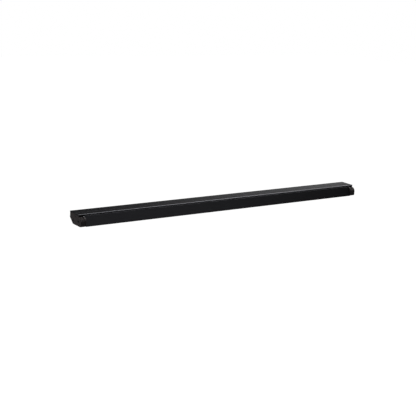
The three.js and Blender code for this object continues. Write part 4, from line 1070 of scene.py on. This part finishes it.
@dataclass
class EndCheek:
    """Moulded end piece with its pivot seat, screw seats, rail notch and snap tongue.

    Attributes:
        side: "left" or "right".
        section: The bar's section.
        edge: Radius round the faces, in mm.
        back_corner: Radius between the upright back and the slope.
        corner: Radius of the small corners; `notch_corner` and `foot_corner` are those at the lip and foot.
        pin_head: Radius of the pivot pin's seat, and `pin_shank` that of its hole.
        pin_head_height: Height of the pin's head.
        pin_bore: Radius of the pin's bore.
        pin_play: How much thinner the pin's shank is than its hole.
        pin_rounding: Steps of the rounding round the pin's head; `collar` and `tip` are its two chamfers.
        socket: Radius, depth, full depth and end radius of the pin's hexagon socket.
        slot_reach: How far the pin's side slot runs out from its axis, and `slot_rise` how far over its bore.
        screw_head: Radius of a cheek screw's seat, and `screw_shank` that of its hole.
        head_height: Height of a cheek screw's head, and `screw_radius` the radius of its shank.
        sunk: How far the heads lie below the face.
        rim: Softening of a seat's rim, and `flare` how much wider its cutter is off the face.
        seat_depth: How far a seat's hole reaches through the cheek.
        lock_hole: Radius of the lock screw's hole, `lock_play` the room round its head.
        lock_head: Height of the lock screw's head, and `lock_shank` the radius of its shank.
        lock_reach: How far the lock screw's hole goes on above its head.
        arch_radius: Outer radius of the snap slot's arch.
        arch_slot: Width of the slot.
        arch_drop: From the top plate down to the arch.
        arch_height: Height of the slot.
        arch_depth: How far behind the band's face the slot reaches.
        lead_channel: Width of the lead's channel, and `lead_depth` its depth.
        lead_rise: How far over the middle of the driver the channel starts.
        washer_seat: Radius of the washer's seat, and `washer_depth` its depth.
    """

    side: str
    section: Section
    edge: float = 0.7
    back_corner: float = 0.8
    corner: float = 0.3
    notch_corner: float = 0.2
    foot_corner: float = 0.4
    pin_head: float = 4.25
    pin_shank: float = 2.5
    pin_head_height: float = 2.0
    pin_bore: float = 1.35
    pin_play: float = 0.1
    pin_rounding: tuple[float, float] = (0.12, 0.4)
    collar: float = 0.1
    tip: float = 0.3
    socket: tuple[float, float, float, float] = (2.0, 2.2, 2.5, 0.8)
    slot_reach: float = 4.0
    slot_rise: float = 0.6
    screw_head: float = 2.75
    screw_shank: float = 1.5
    head_height: float = 1.8
    screw_radius: float = 1.4
    sunk: float = 0.3
    rim: float = 0.3
    flare: float = 0.7
    seat_depth: float = 16.0
    lock_hole: float = 1.35
    lock_play: float = 0.25
    lock_head: float = 1.4
    lock_shank: float = 1.25
    lock_reach: float = 8.0
    arch_radius: float = 4.6
    arch_slot: float = 2.8
    arch_drop: float = 3.4
    arch_height: float = 7.0
    arch_depth: float = 5.0
    lead_channel: float = 4.0
    lead_depth: float = 6.0
    lead_rise: float = 0.55
    washer_seat: float = 6.75
    washer_depth: float = 1.0

    def __post_init__(self) -> None:
        """Finds which way this end faces."""
        self.sign = SIDES[self.side]
        self.inwards = Vector((-self.sign, 0, 0))

    def build(self) -> None:
        """Moulds the cheek, cuts its seats and dresses it, with its screws and pin."""
        node = f"end_cheek_{self.side}"
        low, high = low_high(node)
        s = self.section
        level, lip = high.z, s.top - s.lip_drop - s.part_gap
        shape = Outline(14)
        shape.corner(s.back, s.slope_top, self.back_corner)
        shape.corner(s.slope(s.bottom), s.bottom, s.slope_radius)
        s.nose_path(shape, lip)
        step = s.front + s.wall + s.part_gap
        shape.corner(step, lip, self.notch_corner).corner(step, level, self.corner)
        shape.corner(s.back_wall, level, self.corner)
        shape.corner(s.back_wall, s.foot_top, self.foot_corner).corner(s.back, s.foot_top, self.foot_corner)
        cheek = prism(f"{node}_moulding", shape, low.x, high.x, self.edge)
        carve(cheek, self.cutters(low.x, high.x))
        dress(cheek, CHARCOAL_ABS, HOUSING, node)
        self.build_screws()
        self.build_pin()

    def cutters(self, low: float, high: float) -> list[bpy.types.Object]:
        """All the seats and slots of the cheek, as cutters.

        Args:
            low: The cheek's lowest X, in mm.
            high: Its highest X.

        Returns:
            Closed solids.
        """
        outer, inner = (low, high) if self.sign < 0 else (high, low)
        s = self.section
        cuts = [self.seat(outer, s.pivot, self.pin_head, self.pin_shank, self.pin_head_height)]
        for height in ("upper", "lower"):
            centre = middle_of(f"cheek_screw_{self.side}_{height}")
            cuts.append(self.seat(outer, centre, self.screw_head, self.screw_shank, self.head_height))
        cuts.append(self.lock_seat())
        washer = Vector((inner - self.sign, s.pivot.y, s.pivot.z))
        profile = [(0, self.washer_seat), (self.washer_depth + PAST, self.washer_seat)]
        cuts.append(lathe("seat", profile, washer, -self.inwards))
        cuts.append(self.lead_cutter(inner))
        cuts.append(self.snap_slot(low, high))
        return cuts

    def seat(
        self, outer: float, centre: Vector, head: float, shank: float, head_height: float,
    ) -> bpy.types.Object:
        """A counterbored hole with a softened rim, from the outer face right through.

        Args:
            outer: X of the cheek's outer face, in mm.
            centre: A point on the hole's axis.
            head: Radius of the seat.
            shank: Radius of the hole.
            head_height: Height of the head that it takes.

        Returns:
            The cutter.
        """
        start = Vector((outer, centre.y, centre.z)) - self.inwards * PAST
        floor, rim = PAST + self.sunk + head_height, self.rim
        profile = [
            (0, head + rim + self.flare), (PAST, head + rim), (PAST + rim, head), (floor, head),
            (floor + STEP, shank), (self.seat_depth, shank)]
        return lathe("seat", profile, start, self.inwards)

    def lock_seat(self) -> bpy.types.Object:
        """The hole for the lock screw, which comes up through the foot.

        Returns:
            The cutter.
        """
        low, high = low_high(f"lock_screw_{self.side}")
        centre, head = (low + high) / 2, (high.x - low.x) / 2 + self.lock_play
        start = Vector((centre.x, centre.y, self.section.bottom))
        floor = low.z + self.lock_head - start.z
        end = floor + self.lock_reach
        profile = [(0, head), (floor, head), (floor + STEP, self.lock_hole), (end, self.lock_hole)]
        return lathe("seat", profile, start, UPWARDS)

    def lead_cutter(self, inner: float) -> bpy.types.Object:
        """The open channel that takes the lead from the gear chamber to the pivot.

        Args:
            inner: X of the cheek's inner face, in mm.

        Returns:
            The cutter.
        """
        pivot, gear = self.section.pivot, middle_of("driver_case")
        entry = Vector((gear.y, gear.z + self.lead_rise))
        slope = math.degrees(math.atan2(entry.y - pivot.z, entry.x - pivot.y))
        half = self.lead_channel / 2
        shape = Outline(12).arc(pivot.y, pivot.z, half, slope + 90, slope + 270)
        shape.arc(entry.x, entry.y, half, slope - 90, slope + 90)
        ends = sorted((inner - self.sign * PAST, inner + self.sign * self.lead_depth))
        return prism("channel", shape, *ends, 0)

    def snap_slot(self, low: float, high: float) -> bpy.types.Object:
        """The arch-shaped slot that frees a tongue in the front band.

        Args:
            low: The cheek's lowest X, in mm.
            high: Its highest X.

        Returns:
            The cutter.
        """
        s = self.section
        centre = (low + high) / 2
        crown = s.top - self.arch_drop
        middle, foot = crown - self.arch_radius, crown - self.arch_height
        inner = self.arch_radius - self.arch_slot
        arch = Outline(12).arc(centre, middle, self.arch_radius, 0, 180)
        arch.corner(centre - self.arch_radius, foot).corner(centre - inner, foot)
        arch.arc(centre, middle, inner, 180, 0)
        arch.corner(centre + inner, foot).corner(centre + self.arch_radius, foot)
        return prism("slot", arch, s.nose - PAST, s.band + self.arch_depth, 0, Axis.Y)

    def build_screws(self) -> None:
        """The two cheek screws and the lock screw of this end."""
        for height in ("upper", "lower"):
            node = f"cheek_screw_{self.side}_{height}"
            PanScrew(node, self.inwards, BLACK_OXIDE, HOUSING, self.head_height, self.screw_radius).build()
        node = f"lock_screw_{self.side}"
        PanScrew(node, UPWARDS, ZINC, HOUSING, self.lock_head, self.lock_shank).build()

    def build_pin(self) -> None:
        """The hollow pivot pin, with a hexagon socket in its sunk head."""
        node = f"pivot_pin_{self.side}"
        low, high = low_high(node)
        pivot, bore = self.section.pivot, self.pin_bore
        start = Vector((low.x if self.sign < 0 else high.x, pivot.y, pivot.z))
        head, shank, length = (high.z - low.z) / 2, self.pin_shank - self.pin_play, high.x - low.x
        tall, blind = self.pin_head_height, self.lead_depth - self.sunk
        near, far = self.pin_rounding
        profile = [
            (0, 0), (0, head - far), (near, head - near), (far, head), (tall - self.collar, head),
            (tall, head - self.collar), (tall, shank), (length - self.tip, shank),
            (length, shank - self.tip), (length, bore), (blind, bore), (blind, 0)]
        pin = lathe(f"{node}_turned", profile, start, self.inwards)
        radius, deep, bottom, point = self.socket
        profile = [(0, radius), (deep, radius), (bottom, point)]
        socket = lathe("socket", profile, start - self.inwards * PAST, self.inwards, 6)
        carve(pin, [socket, self.pin_slot()])
        dress(pin, BLACK_OXIDE, HOUSING, node)

    def pin_slot(self) -> bpy.types.Object:
        """The opening at the side of the pin where the lead goes in.

        Returns:
            The cutter.
        """
        pivot, bore = self.section.pivot, self.pin_bore
        over = pivot.z + bore + self.slot_rise
        gap = rectangle(pivot.y, pivot.z - bore, pivot.y + self.slot_reach, over)
        washer_low, washer_high = low_high(f"friction_washer_{self.side}")
        cheek_low, cheek_high = low_high(f"end_cheek_{self.side}")
        inner, washer = (cheek_high.x, washer_low.x) if self.sign < 0 else (cheek_low.x, washer_high.x)
        return prism("slot", gap, *sorted((inner + self.sign * self.lead_depth, washer)), 0)


@dataclass
class TiltingHead:
    """Fascia extrusion, moulded caps and opal diffuser of the lamp head.

    Attributes:
        section: The bar's section.
        edge: Radius along the cut ends of the extrusions, in mm.
        cap_edge: Radius round a cap's faces.
        corner: Radius of the small corners.
        root: Radius where walls meet.
        fascia_corner: Radius at the fascia's top and foot.
        back_corner: Radius at the foot of the rear wall.
        wall: Thickness of the walls.
        top_ahead: How far the fascia's top stands before the housing's front.
        top_gap: How far the fascia's top stays under the arc that the head swings in.
        lip_reach: How far a diffuser lip reaches in, and `lip` its thickness.
        ledge_up: Height of the board ledge over the bottom, and `ledge` its thickness.
        diffuser_gap: Room between the diffuser's face and a lip, and `diffuser_lift` its room over it.
        diffuser_corners: Radii of the diffuser's top, flange, root and face.
        port_radius: Outer radius of a cap screw's port, and `port_bore` that of its bore.
        nut_clearance: Half width of the ledge's notch round a pivot nut, and `notch` its length.
        crest: Where a cap leaves the swing arc, in degrees over the level.
        shoulder: Run from the pivot, rise over the port and radius of the cap's shoulder.
        inner_corner: Radius of the cap's inner corner, and `inner_drop` how far it is under the port.
        bush_hole: Radius of the pivot bush's hole.
        screw_seat: Radius of a cap screw's seat, its depth and the radius of its hole.
    """

    section: Section
    edge: float = 0.2
    cap_edge: float = 0.35
    corner: float = 0.3
    root: float = 0.2
    fascia_corner: float = 0.5
    back_corner: float = 0.6
    wall: float = 1.8
    top_ahead: float = 0.5
    top_gap: float = 0.1
    lip_reach: float = 4.0
    lip: float = 1.2
    ledge_up: float = 8.6
    ledge: float = 1.6
    diffuser_gap: float = 0.4
    diffuser_lift: float = 0.1
    diffuser_corners: tuple[float, float, float, float] = (0.4, 0.3, 0.2, 0.5)
    port_radius: float = 2.5
    port_bore: float = 1.2
    nut_clearance: float = 5.0
    notch: float = 18.0
    crest: float = 75.6
    shoulder: tuple[float, float, float] = (9.0, 1.5, 1.5)
    inner_corner: float = 0.5
    inner_drop: float = 0.6
    bush_hole: float = 3.6
    screw_seat: tuple[float, float, float] = (2.25, 1.4, 1.2)

    def build(self) -> None:
        """Builds and dresses the head's visible pieces."""
        self.build_channel()
        for side in SIDES:
            self.build_cap(side)
        self.build_diffuser()

    def fascia(self, z: float, inward: float = 0.0) -> float:
        """Y of the fascia's front plane at a height, moved inwards, in mm."""
        run, rise = self.top_y - self.foot_y, self.top_z - self.section.bottom
        return self.top_y - ((self.top_z - z) * run - inward * math.hypot(run, rise)) / rise

    def measure(self) -> tuple[Vector, Vector]:
        """Finds the fascia's plane from the channel's box.

        Returns:
            The low and high corners of that box, in mm.
        """
        low, high = low_high("head_channel")
        s = self.section
        self.top_y, self.top_z = s.front - self.top_ahead, s.pivot.z + s.swing - self.top_gap
        self.foot_y = low.y
        return low, high

    def build_channel(self) -> None:
        """The fascia, board ledge, rear wall and diffuser lips, in one extrusion."""
        low, high = self.measure()
        s = self.section
        ledge_low = s.bottom + self.ledge_up
        ledge_high = ledge_low + self.ledge
        lip_top, inner_top = s.bottom + self.lip, self.top_z - self.corner
        lip_front = self.fascia(s.bottom, self.wall) + self.lip_reach
        back, inner, corner = high.y, high.y - self.wall, self.corner
        lip_rear = inner - self.lip_reach
        shape = Outline(10)
        shape.corner(self.top_y, self.top_z, self.fascia_corner)
        shape.corner(self.foot_y, s.bottom, self.fascia_corner)
        shape.corner(lip_front, s.bottom, corner).corner(lip_front, lip_top, corner)
        shape.corner(self.fascia(lip_top, self.wall), lip_top, self.root)
        shape.corner(self.fascia(ledge_low, self.wall), ledge_low, corner).corner(inner, ledge_low, corner)
        shape.corner(inner, lip_top, corner).corner(lip_rear, lip_top, corner)
        shape.corner(lip_rear, s.bottom, corner).corner(back, s.bottom, self.back_corner)
        shape.corner(back, ledge_high, corner).corner(self.fascia(ledge_high, self.wall), ledge_high, corner)
        shape.corner(self.fascia(inner_top, self.wall), inner_top, corner)
        channel = prism("head_channel_extrusion", shape, low.x, high.x, self.edge)
        ports, cuts = [], []
        for spot in ("front", "rear"):
            centre = middle_of(f"cap_screw_left_{spot}")
            ring = Outline(12).arc(centre.y, centre.z, self.port_radius, 0, FULL_RING)
            ports.append(prism("port", ring, low.x + INSET, high.x - INSET, self.edge))
            start = Vector((low.x, centre.y, centre.z))
            cuts.append(drill(start, ALONG_BAR, high.x - low.x, self.port_bore, 24))
        carve(channel, ports, Cut.JOIN)
        near, far = s.pivot.y - self.nut_clearance, s.pivot.y + self.nut_clearance
        for sign in SIDES.values():
            ends = sorted((sign * (high.x + PAST), sign * (high.x - self.notch)))
            cuts.append(prism("notch", rectangle(near, ledge_low - PAST, far, ledge_high + PAST), *ends, 0))
        carve(channel, cuts)
        dress(channel, ANODISED, HEAD, "head_channel")

    def build_cap(self, side: str) -> None:
        """A moulded end cap with the nose, the swing arc and the tray's end.

        Args:
            side: "left" or "right".
        """
        node = f"head_cap_{side}"
        low, high = low_high(node)
        s = self.section
        rear = middle_of(f"cap_screw_{side}_rear")
        band = math.degrees(math.acos((s.band - s.pivot.y) / s.swing))
        shape = Outline(14).corner(high.y, s.bottom, self.back_corner)
        s.nose_path(shape, s.pivot.z + s.swing * math.sin(math.radians(band)))
        # The nose's last corner gives way to the arc.
        shape.marks.pop()
        shape.arc(s.pivot.y, s.pivot.z, s.swing, band, self.crest)
        run, rise, radius = self.shoulder
        shape.corner(s.pivot.y + run, rear.z + self.port_radius + rise, radius)
        shape.arc(rear.y, rear.z, self.port_radius, 90, 0)
        shape.corner(high.y, rear.z - self.port_radius - self.inner_drop, self.inner_corner)
        cap = prism(f"{node}_moulding", shape, low.x, high.x, self.cap_edge)
        sign = SIDES[side]
        outer, thick = (low.x if sign < 0 else high.x), high.x - low.x
        inwards = Vector((-sign, 0, 0))
        cuts = [drill(Vector((outer, s.pivot.y, s.pivot.z)), inwards, thick, self.bush_hole)]
        head, depth, hole = self.screw_seat
        floor, end = PAST + depth, thick + 2 * PAST
        for spot in ("front", "rear"):
            centre = middle_of(f"cap_screw_{side}_{spot}")
            start = Vector((outer, centre.y, centre.z)) - inwards * PAST
            profile = [(0, head), (floor, head), (floor + STEP, hole), (end, hole)]
            cuts.append(lathe("seat", profile, start, inwards))
        carve(cap, cuts)
        dress(cap, CHARCOAL_ABS, HEAD, node)

    def build_diffuser(self) -> None:
        """The opal diffuser: a plate on the lips with a face in the slot between them."""
        low, high = low_high("diffuser")
        s = self.section
        seat = s.bottom + self.lip + self.diffuser_lift
        reach = self.lip_reach + self.diffuser_gap
        slot_front = self.fascia(s.bottom, self.wall) + reach
        slot_rear = low_high("head_channel")[1].y - self.wall - reach
        top, flange, root, face = self.diffuser_corners
        shape = Outline(10)
        shape.corner(low.y, high.z, top).corner(low.y, seat, flange).corner(slot_front, seat, root)
        shape.corner(slot_front, low.z, face).corner(slot_rear, low.z, face).corner(slot_rear, seat, root)
        shape.corner(high.y, seat, flange).corner(high.y, high.z, top)
        dress(prism("diffuser_extrusion", shape, low.x, high.x, self.edge), OPAL, HEAD, "diffuser")


@dataclass
class InnerParts:
    """Pieces inside the bar, which keep the model's own shapes.

    Attributes:
        finishes: The finish of each kind of piece, by how its node's name begins.
    """

    finishes: dict[str, Finish] = field(default_factory=lambda: {
        "friction_washer": NYLON, "pivot_bush": NYLON, "cord_clamp": NYLON,
        "spring_washer": ZINC, "pivot_nut": ZINC, "cap_screw": ZINC, "board_screw": ZINC,
        "terminal_screw": ZINC, "clamp_screw": ZINC, "earth_screw": ZINC, "gear_tray": ZINC,
        "thermal_pad": SILICONE, "led_board": SOLDER_MASK, "reflector": REFLECTOR,
        "driver_case": POLYCARBONATE, "driver_lid": POLYCARBONATE, "driver_board": CIRCUIT,
        "terminal_block": POLYAMIDE, "board_connector": POLYAMIDE, "cable_grommet": RUBBER,
        "live_lead": BROWN_PVC, "neutral_lead": BLUE_PVC, "earth_lead": EARTH_PVC,
        "output_lead": WHITE_PVC, "head_lead": WHITE_PVC,
    })

    def build(self) -> None:
        """Dresses every node that no other class replaced."""
        for node, piece in frame["nodes"].items():
            if piece.hide_render:
                continue
            kind = max((key for key in self.finishes if node.startswith(key)), key=len)
            keep(node, self.finishes[kind], LEAD_EDGE if "lead" in node else INNER_EDGE)


# ---------------------------------------------------------------------------
# Studio
# ---------------------------------------------------------------------------


@dataclass(frozen=True)
class Softbox:
    """A rectangular soft light that faces the object.

    Attributes:
        name: The light's name.
        bearing: Its direction from the object, in degrees from +Y towards +X.
        height: Its elevation, in degrees.
        distance: From the middle of the object, in metres.
        size: Width and height, in metres.
        power: In watts.
    """

    name: str
    bearing: float
    height: float
    distance: float
    size: tuple[float, float]
    power: float

    def build(self, centre: Vector) -> None:
        """Hangs the light, turned to the middle of the object.

        Args:
            centre: The middle of the object, in metres.
        """
        bearing, height = math.radians(self.bearing), math.radians(self.height)
        level = math.cos(height)
        away = Vector((math.sin(bearing) * level, math.cos(bearing) * level, math.sin(height)))
        data = bpy.data.lights.new(self.name, "AREA")
        data.shape = "RECTANGLE"
        data.size, data.size_y = self.size
        data.energy = self.power
        light = bpy.data.objects.new(self.name, data)
        light.location = centre + away * self.distance
        light.rotation_euler = (-away).to_track_quat("-Z", "Y").to_euler()
        light.visible_camera = False
        bpy.context.scene.collection.objects.link(light)


SOFTBOXES = (
    Softbox("overhead", 0.0, 86.0, 2.4, (3.0, 2.0), 92.0),
    Softbox("high_right", 80.0, 48.0, 2.4, (1.2, 1.2), 50.0),
    Softbox("front", 160.0, 30.0, 2.6, (2.4, 1.4), 4.9),
    Softbox("left", -70.0, 8.0, 2.4, (1.6, 1.2), 27.0),
    Softbox("under", 180.0, -86.0, 2.4, (2.4, 1.2), 40.0),
)


@dataclass
class Studio:
    """Camera, pale floor and soft lights.

    Attributes:
        bearing: Which way the camera looks, in degrees from +Y towards +X.
        drop: How far it looks down, in degrees.
        roll: How far it leans, in degrees.
        distance: From the camera to the point that it looks at, in metres.
        aim: That point, in mm from the middle of the object.
        lens: Focal length, in mm, on a sensor of the width `sensor`.
        sight: How far the camera sees, in metres.
        floor_drop: How far the floor is below the object, in metres, and `floor_size` its width.
        floor_roughness: Roughness of the floor.
        room_above: Brightness of the room above the horizon.
        room_below: Brightness below it.
        horizon: Height over the horizon, as a share of the sky, at which the room is at its dimmest.
        glow: Extra brightness of the room behind on the right.
        glow_bearing: Where that glow is centred, in degrees from +Y towards +X.
        glow_edges: Angles from its centre at which it starts and is full, in degrees.
    """

    bearing: float = 37.36
    drop: float = 13.78
    roll: float = 3.76
    distance: float = 2.6402
    aim: tuple[float, float, float] = (-38.1, 23.7, -17.7)
    lens: float = 86.54
    sensor: float = 36.0
    sight: float = 100.0
    floor_drop: float = 3.0
    floor_size: float = 30.0
    floor_roughness: float = 0.9
    room_above: float = 0.015
    room_below: float = 0.2
    horizon: float = 0.2
    glow: float = 0.39
    glow_bearing: float = 75.0
    glow_edges: tuple[float, float] = (46.0, 28.0)

    def build(self) -> None:
        """Sets up the studio round the object."""
        self.centre = (Vector(CAD_LOW) + Vector(CAD_HIGH)) / 2
        self.build_camera()
        self.build_floor()
        for softbox in SOFTBOXES:
            softbox.build(self.centre)
        self.build_world()
        bpy.context.scene.view_settings.view_transform = "Standard"

    def build_camera(self) -> None:
        """The camera, in front on the left, looking slightly down."""
        yaw, pitch, lean = (math.radians(v) for v in (self.bearing, -self.drop, self.roll))
        forward = Vector((math.sin(yaw) * math.cos(pitch), math.cos(yaw) * math.cos(pitch), math.sin(pitch)))
        right = Vector((math.cos(yaw), -math.sin(yaw), 0))
        up = right.cross(forward)
        across = right * math.cos(lean) + up * math.sin(lean)
        above = up * math.cos(lean) - right * math.sin(lean)
        data = bpy.data.cameras.new("camera")
        data.lens = self.lens
        data.sensor_width = self.sensor
        data.clip_end = self.sight
        camera = bpy.data.objects.new("camera", data)
        place = self.centre + Vector(self.aim) * MM - forward * self.distance
        turn = Matrix((across, above, -forward)).transposed().to_4x4()
        camera.matrix_world = Matrix.Translation(place) @ turn
        bpy.context.scene.collection.objects.link(camera)
        bpy.context.scene.camera = camera

    def build_floor(self) -> None:
        """A wide light table well below the bar, bright enough to show as plain white."""
        mesh = bmesh.new()
        bmesh.ops.create_grid(mesh, x_segments=1, y_segments=1, size=self.floor_size)
        floor = new_piece("studio_floor", mesh)
        floor.location.z = CAD_LOW[2] - self.floor_drop
        floor.visible_diffuse = floor.visible_glossy = False
        sheet = bpy.data.materials.new("white_light_table")
        sheet.use_nodes = True
        shader = sheet.node_tree.nodes["Principled BSDF"]
        shader.inputs["Base Color"].default_value = linear("#f6f6f6")
        shader.inputs["Roughness"].default_value = self.floor_roughness
        shader.inputs["Emission Color"].default_value = linear("#ffffff")
        shader.inputs["Emission Strength"].default_value = 1.0
        sheet.cycles.emission_sampling = "NONE"
        floor.data.materials.append(sheet)
        floor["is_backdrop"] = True

    def build_world(self) -> None:
        """White to look at, and a dim grey room for the light on the object."""
        world = bpy.data.worlds.new("studio_world")
        world.use_nodes = True
        tree = world.node_tree
        tree.nodes.clear()
        path = add_node(tree, "LightPath")
        way = add_node(tree, "TexCoord").outputs["Generated"]
        height = add_node(tree, "SeparateXYZ", Vector=way).outputs["Z"]
        levels = {
            "From Min": -self.horizon, "From Max": self.horizon,
            "To Min": self.room_below, "To Max": self.room_above}
        level = add_node(tree, "MapRange", levels, Value=height)
        bearing = math.radians(self.glow_bearing)
        centre = {"operation": "DOT_PRODUCT", 1: (math.sin(bearing), math.cos(bearing), 0.0)}
        near = add_node(tree, "VectorMath", centre, i0=way).outputs["Value"]
        start, full = (math.cos(math.radians(angle)) for angle in self.glow_edges)
        ramp = {"interpolation_type": "SMOOTHSTEP", "From Min": start, "From Max": full, "To Max": self.glow}
        glow = add_node(tree, "MapRange", ramp, Value=near)
        total = add_node(
            tree, "Math", {"operation": "ADD"}, i0=level.outputs["Result"], i1=glow.outputs["Result"])
        seen = add_node(tree, "Background", {"Color": linear("#ffffff"), "Strength": 1.0})
        room = add_node(tree, "Background", {"Color": linear("#ffffff")}, Strength=total.outputs["Value"])
        mix = add_node(
            tree, "MixShader", Fac=path.outputs["Is Camera Ray"], i1=room.outputs[0], i2=seen.outputs[0])
        add_node(tree, "OutputWorld", Surface=mix.outputs[0])
        bpy.context.scene.world = world


def main() -> None:
    """Builds the bar from the wall outwards, then the studio."""
    logging.basicConfig(level=logging.INFO, format="%(name)s: %(message)s")
    section = Section()
    WallRail().build()
    Housing(section).build()
    for side in SIDES:
        EndCheek(side, section).build()
    TiltingHead(section).build()
    InnerParts().build()
    Studio().build()


if __name__ == "__main__":
    main()
